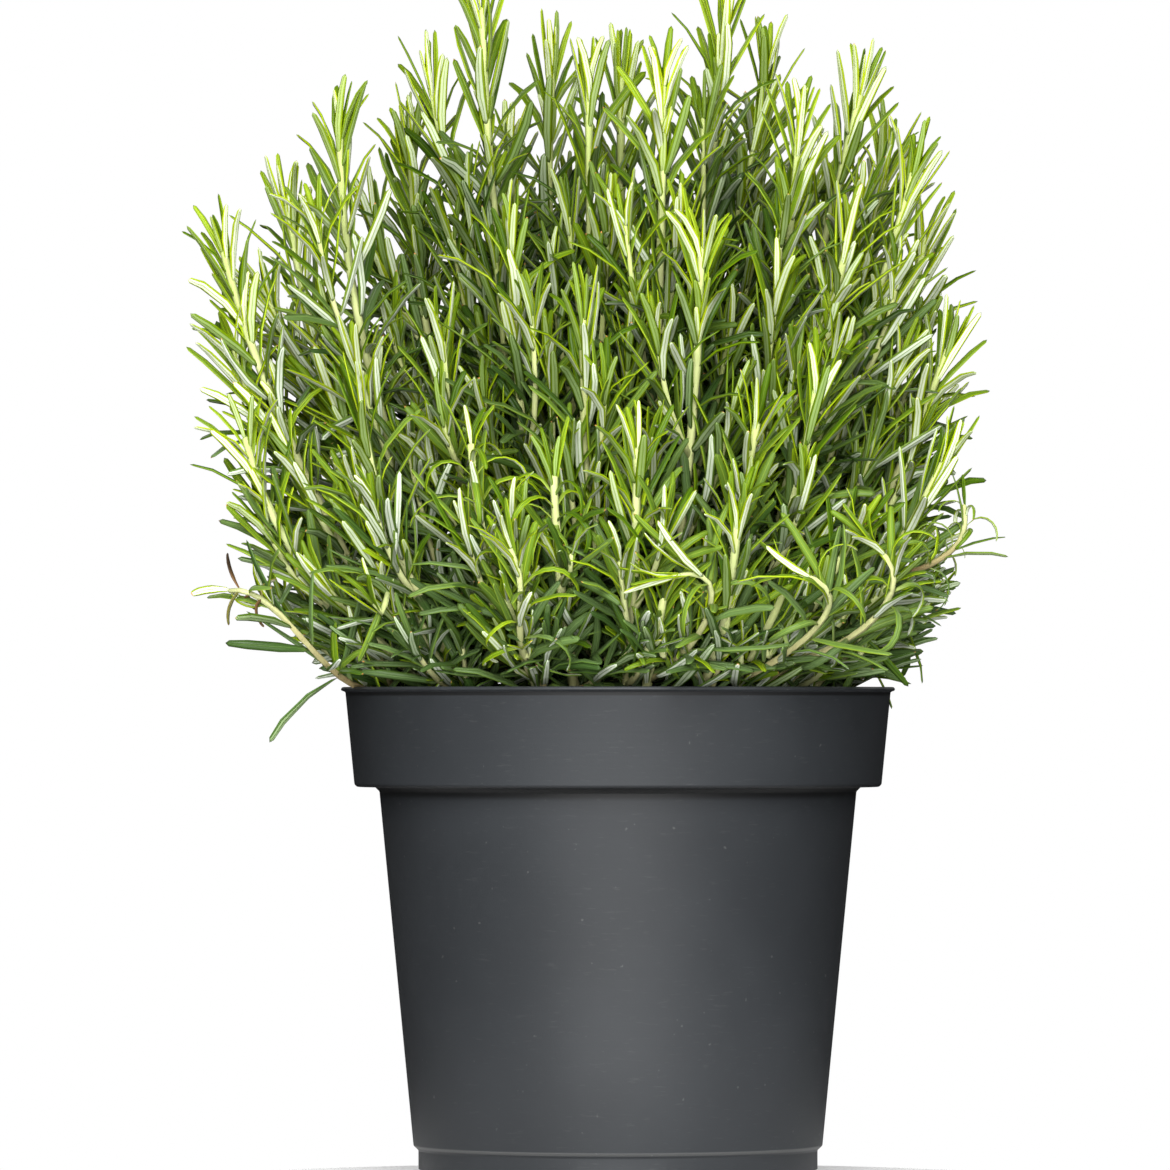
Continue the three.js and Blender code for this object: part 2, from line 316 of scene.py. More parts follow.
@dataclass(frozen=True)
class PotPlastic:
    """Dark grey moulded plastic with a fine grain, faint moulding lines, dust and small scuffs, and painted
    shade in dark lines under the lip and below the collar's ledge.

    Heights, like a finish's relief, are in metres, and scales in repeats to the metre.
    """

    dark: Colour = (0.0182, 0.0201, 0.0225)
    worn: Colour = (0.0222, 0.0245, 0.0273)
    dust: Colour = (0.24, 0.24, 0.23)
    painted_shade: Colour = (0.006, 0.006, 0.006)
    seam_height: float = 0.0135
    lip_shade_height: float = 0.1684
    ledge_shade_height: float = 0.1352
    cloud_scale: float = 14.0
    grain_scale: float = 1500.0
    speck_scale: float = 420.0
    line_scales: Place = (8.0, 8.0, 700.0)
    scuff_scales: Place = (190.0, 190.0, 1300.0)
    roughness: float = 0.48
    gloss: float = 0.25
    relief: float = 0.0001

    def material(self) -> bpy.types.Material:
        """Returns the material."""
        material = bpy.data.materials.new("pot_plastic")
        tree = ShaderTree(material)
        where = tree.place()
        height = tree.split(where)[2]
        cloud = tree.noise(where, self.cloud_scale, 5.0)
        grain = tree.noise(where, self.grain_scale, 2.0)
        specks = tree.noise(where, self.speck_scale, 1.0).rise(0.76, 0.82)
        lines = tree.streaks(self.line_scales)
        scuffs = tree.streaks(self.scuff_scales).rise(0.60, 0.85)
        colour = tree.blend(cloud.rise(0.35, 0.7), self.dark, self.worn)
        colour = tree.blend(specks * 0.12 + scuffs * cloud * 0.10, colour, self.dust)
        colour = tree.blend(height.band(self.seam_height, 0.0003, 0.0005) * 0.2, colour, self.dust)
        # Painted shade: dark lines under the lip and along the collar's ledge, where shadow falls.
        painted_shade_band = height.band(self.lip_shade_height, 0.0004, 0.0004) + height.band(self.ledge_shade_height, 0.0008, 0.0022)
        colour = tree.blend(painted_shade_band * 0.85, colour, self.painted_shade)
        tree.surface({
            "Base Color": colour,
            "Roughness": self.roughness + cloud * 0.08 - specks * 0.1,
            "Specular IOR Level": self.gloss,
            "Normal": tree.bump(grain * 0.4 + lines * 0.6, self.relief, 0.35),
        })
        return material


@dataclass(frozen=True)
class PottingSoil:
    """Dark crumbly peat with paler fibres."""

    dark: Colour = (0.010, 0.006, 0.004)
    brown: Colour = (0.050, 0.030, 0.017)
    fibre: Colour = (0.16, 0.105, 0.06)
    crumb_scale: float = 260.0
    fibre_scales: Place = (300.0, 900.0, 500.0)
    roughness: float = 0.85
    gloss: float = 0.2
    relief: float = 0.0012

    def material(self) -> bpy.types.Material:
        """Returns the material."""
        material = bpy.data.materials.new("soil")
        tree = ShaderTree(material)
        crumbs = tree.noise(tree.place(), self.crumb_scale, 6.0)
        colour = tree.blend(crumbs.rise(0.35, 0.68), self.dark, self.brown)
        colour = tree.blend(tree.streaks(self.fibre_scales).rise(0.66, 0.74) * 0.6, colour, self.fibre)
        tree.surface({
            "Base Color": colour,
            "Roughness": self.roughness + crumbs * 0.15,
            "Specular IOR Level": self.gloss,
            "Normal": tree.bump(crumbs, self.relief, 0.8),
        })
        return material


@dataclass(frozen=True)
class ByAge:
    """A colour of the plant as it is when young, full grown and old."""

    young: Colour
    full: Colour
    old: Colour

    def read(self, tree: ShaderTree, age: Value) -> bpy.types.NodeSocket:
        """Returns the colour at an age from 0 to 1."""
        early = tree.blend(age.rise(0.0, 0.5), self.young, self.full)
        return tree.blend(age.rise(0.4, 1.0), early, self.old)


@dataclass(frozen=True)
class LeafSkin:
    """A leaf's skin: glossy above with a pale groove, felted silver below between rolled green edges.

    The leaf's own map runs around it, where the groove and the rib have their places, and then along it.
    Leaves deep in the plant are darkened with painted shade.
    """

    top: ByAge = ByAge((0.20, 0.30, 0.006), (0.105, 0.185, 0.006), (0.080, 0.132, 0.042))
    edge: ByAge = ByAge((0.34, 0.42, 0.006), (0.28, 0.37, 0.004), (0.100, 0.175, 0.030))
    felt: ByAge = ByAge((0.54, 0.62, 0.18), (0.54, 0.62, 0.26), (0.52, 0.59, 0.38))
    bloom: ByAge = ByAge((0.58, 0.65, 0.40), (0.65, 0.71, 0.53), (0.67, 0.73, 0.60))
    groove: ByAge = ByAge((0.42, 0.50, 0.03), (0.27, 0.36, 0.02), (0.14, 0.22, 0.07))
    dull: Colour = (0.33, 0.44, 0.27)
    blotch: Colour = (0.70, 0.78, 0.55)
    painted_depth_shade: Colour = (0.09, 0.145, 0.01)
    rust: Colour = (0.50, 0.20, 0.06)
    dry: Colour = (0.16, 0.085, 0.032)
    burnt: Colour = (0.030, 0.018, 0.010)
    groove_place: float = 0.25
    rib_place: float = 0.75
    mottle_scale: float = 300.0
    wrinkle_scale: float = 1300.0
    roughness: float = 0.26
    gloss: float = 0.12
    relief: float = 0.0006

    def material(self) -> bpy.types.Material:
        """Returns the material."""
        material = bpy.data.materials.new("rosemary_leaf")
        tree = ShaderTree(material)
        where = tree.place()
        around, along, _ = tree.split(tree.node("ShaderNodeUVMap", {"uv_map": LEAF_MAP}, {}).outputs[0])
        chance, age, dryness, depth = tree.tones()
        felted = around.band(self.rib_place, 0.064, 0.015)
        above = around.band(self.groove_place, 0.17, 0.05)
        rib = around.band(self.rib_place, 0.004, 0.014)
        groove = around.band(self.groove_place, 0.004, 0.03)
        silver = chance.rise(0.15, 0.55)
        mottle = tree.noise(where, self.mottle_scale)
        wrinkle = tree.noise(where, self.wrinkle_scale, 2.0)
        colour = tree.blend(above, self.edge.read(tree, age), self.top.read(tree, age))
        colour = tree.blend(groove * 0.7, colour, self.groove.read(tree, age))
        felt = tree.blend(silver, self.felt.read(tree, age), self.bloom.read(tree, age))
        colour = tree.blend(felted, colour, felt)
        colour = tree.blend(rib * 0.65, colour, self.edge.read(tree, age))
        colour = tree.blend((1.0 - along.rise(0.0, 0.3)) * 0.35, colour, self.felt.young)
        colour = tree.blend((1.0 - chance).rise(0.42, 0.88) * 0.9, colour, self.dull, "MULTIPLY")
        colour = tree.blend(mottle.rise(0.5, 0.8) * 0.25, colour, self.blotch, "MULTIPLY")
        # Painted shade: darker the deeper the leaf lies in the plant.
        colour = tree.blend(depth, colour, self.painted_depth_shade, "MULTIPLY")
        tip = along.rise(0.88, 0.96) * dryness.rise(0.1, 0.4)
        colour = tree.blend(tip, colour, self.rust)
        colour = tree.blend(dryness.rise(0.6, 0.9), colour, self.dry)
        colour = tree.blend(dryness.rise(0.75, 1.0) * along.rise(0.1, 0.6), colour, self.burnt)
        tree.surface({
            "Base Color": colour,
            "Roughness": self.roughness + felted * 0.45 + mottle * 0.14,
            "Specular IOR Level": self.gloss,
            "Normal": tree.bump(wrinkle * 0.15 + rib * 0.5 - felted - groove * 0.8, self.relief, 0.5),
        })
        return material


@dataclass(frozen=True)
class StemBark:
    """A stem's skin: pale green where it is young, straw where it is full grown, brown and cracked below,
    with painted shade deep in the plant.
    """

    skin: ByAge = ByAge((0.44, 0.53, 0.17), (0.54, 0.58, 0.27), (0.25, 0.17, 0.075))
    tanned: Colour = (0.62, 0.55, 0.45)
    crack: Colour = (0.045, 0.028, 0.018)
    painted_depth_shade: Colour = (0.24, 0.25, 0.10)
    strand_scales: Place = (1400.0, 1400.0, 160.0)
    patch_scale: float = 90.0
    roughness: float = 0.55
    gloss: float = 0.35
    relief: float = 0.0003

    def material(self) -> bpy.types.Material:
        """Returns the material."""
        material = bpy.data.materials.new("rosemary_stem")
        tree = ShaderTree(material)
        chance, age, dryness, depth = tree.tones()
        strands = tree.streaks(self.strand_scales, 3.0)
        aged = age + tree.noise(tree.place(), self.patch_scale) * 0.3 - 0.15
        colour = self.skin.read(tree, aged)
        colour = tree.blend(chance * 0.3, colour, self.tanned, "MULTIPLY")
        colour = tree.blend(strands.rise(0.5, 0.75) * aged.rise(0.5, 1.0) * 0.8, colour, self.crack)
        colour = tree.blend(dryness.rise(0.5, 1.0) * 0.5, colour, self.crack)
        # Painted shade: darker the deeper the stem lies in the plant.
        colour = tree.blend(depth, colour, self.painted_depth_shade, "MULTIPLY")
        tree.surface({
            "Base Color": colour,
            "Roughness": self.roughness + strands * 0.25,
            "Specular IOR Level": self.gloss,
            "Normal": tree.bump(strands, self.relief, 0.7),
        })
        return material


@dataclass(frozen=True)
class PaleFloor:
    """Matt white paint with a trace of cloud."""

    colour: Colour = (0.84, 0.84, 0.84)
    shade: Colour = (0.80, 0.80, 0.80)
    cloud_scale: float = 3.0
    roughness: float = 0.9

    def material(self) -> bpy.types.Material:
        """Returns the material."""
        material = bpy.data.materials.new("pale_floor")
        tree = ShaderTree(material)
        cloud = tree.noise(tree.place(), self.cloud_scale, 2.0)
        tree.surface({"Base Color": tree.blend(cloud, self.colour, self.shade), "Roughness": self.roughness})
        return material


@dataclass(frozen=True)
class NurseryPot:
    """The moulded pot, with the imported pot's sizes in millimetres and its fine edges rounded.

    Its centre turns millimetres about the pot's axis into the frame's metres.
    """

    centre: Matrix
    height: float = 170.8
    lip_radius: float = 95.0
    lip_depth: float = 1.7
    lip_reach: float = 1.5
    lip_edge: float = 0.3
    collar_bottom: float = 136.6
    collar_bottom_radius: float = 90.4
    collar_edge: float = 0.9
    body_top_radius: float = 81.8
    body_bottom_radius: float = 70.1
    foot_height: float = 13.0
    foot_radius: float = 68.4
    foot_chamfer: float = 0.8
    wall: float = 1.5
    ledge_fillet: float = 1.6
    floor_bottom: float = 6.0
    floor_top: float = 7.6
    sides: int = 128
    rounding: float = 0.35
    rounded_turn: float = 20.0
    sharp_turn: float = 30.0
    notch_width: float = 29.0
    notch_height: float = 5.8
    notch_count: int = 4
    drain_radius: float = 6.0
    drain_circle: float = 44.0
    drain_count: int = 4
    drain_sides: int = 32

    def collar_radius(self, height: float) -> float:
        """Returns the collar's outer radius at a height."""
        share = (height - self.collar_bottom) / (self.height - self.lip_depth - self.collar_bottom)
        return mix(self.collar_bottom_radius, self.lip_radius - self.lip_reach, share)

    def inside(self, top: float, gap: float) -> Steps:
        """Follows the inside from the floor up.

        Args:
            top: The height that the line ends at.
            gap: How far it stays off the wall.

        Returns:
            Its corners as (radius, height).
        """
        ledge = self.collar_bottom + self.wall
        return [
            (self.foot_radius - self.wall - gap, self.floor_top),
            (self.foot_radius - self.wall - gap, self.foot_height - self.wall + gap),
            (self.body_bottom_radius - self.wall - gap, self.foot_height + gap),
            (self.body_top_radius - self.wall - gap, ledge + gap),
            (self.collar_radius(ledge) - self.wall - gap, ledge + gap),
            (self.collar_radius(top) - self.wall - gap, top),
        ]

    def outline(self) -> Steps:
        """Returns the section as (radius, height), from the axis under the floor to the axis above it."""
        lip_bottom = self.height - self.lip_depth
        lip_edge = self.lip_depth * self.lip_edge
        foot_inside = self.foot_radius - self.wall
        outside = [
            (0.0, self.floor_bottom),
            (foot_inside, self.floor_bottom),
            (foot_inside, 0.0),
            (self.foot_radius - self.foot_chamfer, 0.0),
            (self.foot_radius, self.foot_chamfer),
            (self.foot_radius, self.foot_height - self.foot_chamfer),
            (self.body_bottom_radius, self.foot_height + self.foot_chamfer),
            (self.body_top_radius, self.collar_bottom - self.ledge_fillet),
            (self.body_top_radius + self.ledge_fillet, self.collar_bottom),
            (self.collar_bottom_radius - self.collar_edge, self.collar_bottom),
            (self.collar_bottom_radius, self.collar_bottom + self.collar_edge),
            (self.lip_radius - self.lip_reach, lip_bottom),
            (self.lip_radius, lip_bottom + lip_edge),
            (self.lip_radius, self.height - lip_edge),
            (self.lip_radius - lip_edge, self.height),
            (self.collar_radius(lip_bottom) - self.wall, self.height),
        ]
        return [*outside, *reversed(self.inside(lip_bottom, 0.0)), (0.0, self.floor_top)]

    def shell(self) -> bmesh.types.BMesh:
        """Returns the turned pot without its notches and holes, in metres at its place."""
        bm = bmesh.new()
        verts = [bm.verts.new((radius, 0.0, height)) for radius, height in self.outline()]
        edges = [bm.edges.new(pair) for pair in zip(verts, verts[1:])]
        bmesh.ops.spin(
            bm, geom=[*verts, *edges], cent=(0.0, 0.0, 0.0), axis=UP, dvec=(0.0, 0.0, 0.0),
            angle=math.tau, steps=self.sides, use_merge=True,
        )
        bmesh.ops.remove_doubles(bm, verts=bm.verts, dist=WELD)
        bmesh.ops.recalc_face_normals(bm, faces=bm.faces)
        rims = [edge for edge in bm.edges if edge.calc_face_angle(0.0) > math.radians(self.rounded_turn)]
        bmesh.ops.bevel(
            bm, geom=rims, offset=self.rounding, segments=2, profile=0.5, affect="EDGES",
            material=-1, clamp_overlap=True,
        )
        bmesh.ops.transform(bm, matrix=self.centre, verts=bm.verts)
        return bm

    def cutters(self) -> bmesh.types.BMesh:
        """Returns the blocks and rods that cut the foot's notches and the floor's holes."""
        bm = bmesh.new()
        for index in range(self.notch_count):
            turn = Matrix.Rotation(math.tau * index / self.notch_count, 4, "Z")
            size = (self.foot_radius / 2, self.notch_width, self.notch_height * 2)
            shift = Matrix.Translation((self.foot_radius, 0.0, 0.0))
            bmesh.ops.create_cube(bm, size=1.0, matrix=turn @ shift @ Matrix.Diagonal((*size, 1.0)))
        for index in range(self.drain_count):
            place = polar(self.drain_circle, 360.0 * (index + 0.5) / self.drain_count, self.floor_top)
            bmesh.ops.create_cone(
                bm, cap_ends=True, segments=self.drain_sides, radius1=self.drain_radius,
                radius2=self.drain_radius, depth=self.floor_top, matrix=Matrix.Translation(place),
            )
        bmesh.ops.transform(bm, matrix=self.centre, verts=bm.verts)
        return bm

    def build(self) -> bpy.types.Object:
        """Builds the pot.

        Returns:
            The pot's piece.
        """
        pot = add_object("nursery_pot", self.shell(), [PotPlastic().material()])
        cutter = add_object("pot_cutter", self.cutters(), [])
        cut = pot.modifiers.new("cut", "BOOLEAN")
        cut.object = cutter
        cut.solver = "EXACT"
        bpy.context.view_layer.update()
        seen = pot.evaluated_get(bpy.context.evaluated_depsgraph_get())
        bm = bmesh.new()
        bm.from_mesh(seen.to_mesh())
        pot.modifiers.clear()
        bpy.data.objects.remove(cutter)
        crease(bm, self.sharp_turn)
        bm.to_mesh(pot.data)
        bm.free()
        add_piece(pot, "pot")
        return pot


@dataclass(frozen=True)
class SoilBed:
    """The filling of the pot, with a crumbly top, in millimetres."""

    pot: NurseryPot
    top: float = 158.0
    gap: float = 0.3
    around: int = 96
    inward_rows: int = 34
    hummock: float = 2.6
    hummock_scale: float = 0.035
    crumb: float = 1.3
    crumb_scale: float = 0.21
    crumb_level: float = 40.0
    clod_count: int = 620
    clod_size: Range = (0.9, 3.4)
    clod_width: Range = (0.5, 1.0)
    clod_height: Range = (0.4, 0.8)
    clod_scale: float = 1.3
    clod_unevenness: float = 0.16
    sharp_turn: float = 50.0

    def surface_height(self, x: float, y: float) -> float:
        """Reads the soil's uneven top.

        Args:
            x: How far right of the pot's axis.
            y: How far behind it.

        Returns:
            The top's height there.
        """
        broad = noise.noise(Vector((x, y, 0.0)) * self.hummock_scale)
        fine = noise.noise(Vector((x, y, self.crumb_level)) * self.crumb_scale)
        return self.top + broad * self.hummock + fine * self.crumb

    def place(self, around: float, along: float) -> Vector:
        """Shapes the bed from the middle of its underside up the wall and in over its top.

        Args:
            around: A share of the way around it.
            along: A share of the way along that line.

        Returns:
            The point there.
        """
        corners = [(0.0, self.pot.floor_top), *self.pot.inside(self.top, self.gap)]
        row = round(along * (len(corners) - 1 + self.inward_rows))
        if row < len(corners):
            radius, height = corners[row]
            return polar(radius, 360.0 * around, height)
        inward = (row - len(corners) + 1) / self.inward_rows
        point = polar(corners[-1][0] * (1.0 - inward), 360.0 * around, 0.0)
        point.z = self.surface_height(point.x, point.y)
        return point

    def add_clods(self, bm: bmesh.types.BMesh) -> None:
        """Strews small uneven lumps over the top.

        Args:
            bm: The bed's mesh.
        """
        draw = random.Random(SEED)
        noise.seed_set(SEED)
        reach = self.pot.inside(self.top, self.gap)[-1][0] - self.clod_size[1]
        for _ in range(self.clod_count):
            place = polar(reach * math.sqrt(draw.random()), draw.uniform(0.0, 360.0), 0.0)
            place.z = self.surface_height(place.x, place.y)
            size = mix(*self.clod_size, draw.random() ** 2)
            sizes = (size, size * draw.uniform(*self.clod_width), size * draw.uniform(*self.clod_height), 1.0)
            turn = Matrix.Rotation(draw.uniform(0.0, math.tau), 4, "Z")
            matrix = Matrix.Translation(place) @ turn @ Matrix.Diagonal(sizes)
            made = bmesh.ops.create_icosphere(bm, subdivisions=1, radius=0.5, matrix=matrix)
            for vert in made["verts"]:
                vert.co += noise.noise_vector(vert.co * self.clod_scale) * size * self.clod_unevenness

    def build(self) -> bpy.types.Object:
        """Builds the bed.

        Returns:
            The soil's piece.
        """
        bm = bmesh.new()
        side_rows = len(self.pot.inside(self.top, self.gap))
        warp_tube(bm, self.around, side_rows + self.inward_rows, self.place)
        self.add_clods(bm)
        bmesh.ops.transform(bm, matrix=self.pot.centre, verts=bm.verts)
        crease(bm, self.sharp_turn)
        soil = add_object("potting_soil", bm, [PottingSoil().material()])
        add_piece(soil, "soil")
        return soil


@dataclass
class Bend:
    """A cubic curve in space, which leaves its start towards rise and reaches its end from turn."""

    start: Vector
    rise: Vector
    turn: Vector
    end: Vector
    parts: int = 32
    marks: Steps = field(init=False)

    def __post_init__(self) -> None:
        """Measures the curve: how far from its end each share along it lies."""
        far = 0.0
        marks = [(0.0, 1.0)]
        for index in range(self.parts, 0, -1):
            far += (self.point(index / self.parts) - self.point((index - 1) / self.parts)).length
            marks.append((far, (index - 1) / self.parts))
        self.marks = marks

    def point(self, share: float) -> Vector:
        """Follows the curve.

        Args:
            share: How far along it.

        Returns:
            The point there.
        """
        left = 1.0 - share
        first = self.start * left**3 + self.rise * (3.0 * left**2 * share)
        return first + self.turn * (3.0 * left * share**2) + self.end * share**3

    def tangent(self, share: float) -> Vector:
        """Follows the curve's direction.

        Args:
            share: How far along it.

        Returns:
            The direction there.
        """
        left = 1.0 - share
        first = (self.rise - self.start) * left**2 + (self.turn - self.rise) * (2.0 * left * share)
        return (first + (self.end - self.turn) * share**2).normalized()

    @property
    def length(self) -> float:
        """Returns the curve's length."""
        return self.marks[-1][0]

    def share_from_end(self, distance: float) -> float:
        """Returns the share along the curve at a distance back from its end."""
        return along_steps(distance, self.marks)


class LeafForm(Enum):
    """Ways in which a leaf has grown."""

    YOUNG = "young"
    FULL = "full"
    OLD = "old"
    CURLED = "curled"
    DRY = "dry"


@dataclass(frozen=True)
class LeafShape:
    """A leaf in its own axes: along Y from its base, flat across X and its upper side towards Z.

    Lengths are in millimetres and angles in degrees: droop bends it down over its length, twist turns it
    about itself and sway bends it sideways. Each copy varies its droop by the share in vary, and draws its
    twist and sway up to these.
    """

    droop: float
    twist: float
    sway: float
    width: float = LEAF_WIDTH
    length: float = 27.0
    vary: float = 0.6
    copies: int = 4
    rows: tuple[float, ...] = (0.0, 0.1, 0.38, 0.75, 0.94, 1.0)

    def grown(self, draw: random.Random) -> LeafShape:
        """Grows a leaf of this kind with its own bends.

        Args:
            draw: The draws.

        Returns:
            Its shape.
        """
        droop = self.droop * (1.0 + self.vary * draw.uniform(-1.0, 1.0))
        twist = self.twist * draw.uniform(-1.0, 1.0)
        sway = self.sway * draw.uniform(-1.0, 1.0)
        return replace(self, droop=droop, twist=twist, sway=sway)


FINE_ROWS = (0.0, 0.1, 0.24, 0.38, 0.50, 0.62, 0.75, 0.86, 0.94, 1.0)
LEAF_SHAPES = {
    LeafForm.YOUNG: LeafShape(droop=15.0, twist=24.0, sway=22.0, vary=2.0, copies=12),
    LeafForm.FULL: LeafShape(droop=21.0, twist=40.0, sway=28.0, vary=1.9, copies=12),
    LeafForm.OLD: LeafShape(droop=32.0, twist=60.0, sway=34.0, width=2.8, vary=1.5, copies=12),
    LeafForm.CURLED: LeafShape(droop=165.0, twist=40.0, sway=20.0, width=2.3, vary=0.25, rows=FINE_ROWS),
    LeafForm.DRY: LeafShape(droop=80.0, twist=90.0, sway=60.0, length=14.0, rows=FINE_ROWS),
}


def plant_mesh() -> bmesh.types.BMesh:
    """Returns an empty mesh with the layers for the leaves' map and for the tones."""
    bm = bmesh.new()
    bm.loops.layers.uv.new(LEAF_MAP)
    bm.verts.layers.float_color.new(TONE)
    return bm


@dataclass
class LeafPress:
    """Shapes the copies of each kind of leaf as meshes and sets them on the stems.

    The section is in halves of a leaf's width, and width_steps gives how wide it is along the leaf.
    """

    draw: random.Random
    section: Steps = ((-1.0, -0.06), (-0.50, 0.24), (0.50, 0.24), (1.0, -0.06), (0.70, -0.32), (-0.70, -0.32))
    width_steps: Steps = ((0.0, 0.0), (0.1, 0.6), (0.38, 1.0), (0.75, 0.92), (0.94, 0.62), (1.0, 0.0))
    parts: int = 24
    leaves: dict[LeafForm, list[bpy.types.Mesh]] = field(default_factory=dict)
    lines: dict[LeafForm, list[list[Vector]]] = field(default_factory=dict)

    def __post_init__(self) -> None:
        """Shapes every copy of every form."""
        for form, kind in LEAF_SHAPES.items():
            shapes = [kind.grown(self.draw) for _ in range(kind.copies)]
            self.leaves[form] = [self.press(f"{form.value}_leaf", shape) for shape in shapes]
            self.lines[form] = [[self.spine(shape, share)[0] for share in shape.rows] for shape in shapes]

    def line(self, form: LeafForm, pick: int) -> list[Vector]:
        """Returns the middle line of one copy of a form, in its own axes."""
        copies = self.lines[form]
        return copies[pick % len(copies)]

    def spine(self, shape: LeafShape, share: float) -> tuple[Vector, Matrix]:
        """Follows a leaf's middle line.

        Args:
            shape: The leaf.
            share: How far along it.

        Returns:
            The point there and the turn of the leaf's section.
        """
        point = Vector()
        turn = Matrix.Identity(3)
        for step in range(round(share * self.parts)):
            part = (step + 0.5) / self.parts
            bend = Matrix.Rotation(math.radians(-shape.droop * part), 3, "X")
            sway = Matrix.Rotation(math.radians(shape.sway * part), 3, "Z")
            turn = sway @ bend
            point += turn @ Vector((0.0, shape.length / self.parts, 0.0))
        twist = Matrix.Rotation(math.radians(shape.twist * share), 3, "Y")
        return point, turn @ twist

    def press(self, name: str, shape: LeafShape) -> bpy.types.Mesh:
        """Shapes one leaf as a closed tube.

        Args:
            name: The mesh's name.
            shape: The leaf.

        Returns:
            Its mesh, with the leaf's map and room for its tone.
        """
        bm = plant_mesh()
        spines = [self.spine(shape, share) for share in shape.rows]
        around = len(self.section)
        along = len(shape.rows) - 1

        def place(turned: float, far: float) -> Vector:
            """Returns the skin's point for a share around the leaf and a share along it."""
            across, up = self.section[round(turned * around) % around]
            row = round(far * along)
            point, turn = spines[row]
            half = shape.width * 0.5 * along_steps(shape.rows[row], self.width_steps)
            return point + turn @ Vector((across * half, 0.0, up * half))

        warp_tube(bm, around, along, place)
        mesh = bpy.data.meshes.new(name)
        bm.to_mesh(mesh)
        bm.free()
        return mesh

    def add(self, bm: bmesh.types.BMesh, form: LeafForm, pick: int, matrix: Matrix, tone: Tone) -> None:
        """Sets a copy of a leaf into a mesh.

        Args:
            bm: The mesh.
            form: The kind of leaf.
            pick: Which copy of that kind.
            matrix: Its size, turn and place.
            tone: Its chance, age, dryness and depth in the plant.
        """
        first = len(bm.verts)
        copies = self.leaves[form]
        bm.from_mesh(copies[pick % len(copies)])
        bm.verts.ensure_lookup_table()
        verts = bm.verts[first:]
        bmesh.ops.transform(bm, matrix=matrix, verts=verts)
        layer = bm.verts.layers.float_color[TONE]
        for vert in verts:
            vert[layer] = tone

    def clear(self) -> None:
        """Deletes the single leaves once their copies are set."""
        for copies in self.leaves.values():
            for mesh in copies:
                bpy.data.meshes.remove(mesh)


class Habit(Enum):
    """How a leafy stem grows."""

    PLAIN = "plain"
    CURLED_TIP = "curled tip"
    DRY_TIP = "dry tip"
    WISPY = "wispy"
    PALE = "pale"


@dataclass(frozen=True)
class LeafSite:
    """Where a leaf grows on a shoot: how far back from its tip and how turned about it, in degrees.

    Its size is beside a full leaf's there, and fresh is taken off its age.
    """

    back: float
    around: float
    size: float = 1.0
    fresh: float = 0.0


@dataclass(frozen=True)
class Seat:
    """A leaf's seat in space: its base, the shoot's direction there and the way out of the shoot."""

    base: Vector
    along: Vector
    radial: Vector


@dataclass(frozen=True)
class Shoot:
    """A leafy shoot: its line, an axis across it, how it grows, its bare foot and its thickness.

    It goes on straight down for root_depth below its start, and a leaf sits at a share of its radius, seated.
    """

    bend: Bend
    side: Vector
    maturity: float
    habit: Habit = Habit.PLAIN
    bare: float = 3.0
    root_radius: float = 1.15
    tip_radius: float = 0.7
    root_depth: float = 0.0
    seated: float = 0.55

    def across(self, share: float) -> Vector:
        """Returns the second axis across the shoot at a share along it."""
        return self.side.cross(self.bend.tangent(share)).normalized()

    def radial(self, share: float, degrees: float) -> Vector:
        """Returns a direction out of the shoot.

        Args:
            share: How far along the shoot.
            degrees: The direction's turn about it.

        Returns:
            The direction.
        """
        angle = math.radians(degrees)
        across = self.across(share)
        return self.bend.tangent(share).cross(across) * math.cos(angle) + across * math.sin(angle)

    def radius(self, share: float) -> float:
        """Returns the shoot's thickness at a share along it, as a radius."""
        return mix(self.root_radius, self.tip_radius, share)

    def seat(self, site: LeafSite) -> Seat:
        """Returns a leaf's seat.

        Args:
            site: Where the leaf grows.

        Returns:
            Its seat there.
        """
        share = self.bend.share_from_end(site.back)
        radial = self.radial(share, site.around)
        base = self.bend.point(share) + radial * self.radius(share) * self.seated
        return Seat(base, self.bend.tangent(share), radial)


@dataclass(frozen=True)
class Leaf:
    """A grown leaf: its kind and copy, sizes in millimetres, angles in degrees, and age from 0 to 1."""

    form: LeafForm
    pick: int
    length: float
    width: float
    spread: float
    roll: float
    age: float


@dataclass(frozen=True)
class Tip:
    """The tip of a leafy stem, in millimetres about the pot's axis, and its outward lean in degrees."""

    x: float
    y: float
    z: float
    lean: float


@dataclass(frozen=True)
class Runner:
    """A shoot with a line of its own: the leafy stem that it leaves, at what share, and its next points.

    The points are in millimetres about the pot's axis, and the last one is the end of its stem.
    """

    stem: int
    share: float
    points: tuple[Place, Place, Place]
    habit: Habit
    maturity: float


@dataclass(frozen=True)
class BackRing:
    """A ring of leafy stems round the back: tip radius and height, lean, and the arc that it fills."""

    count: int
    radius: float
    height: float
    lean: float
    start: float = 30.0
    stop: float = 150.0


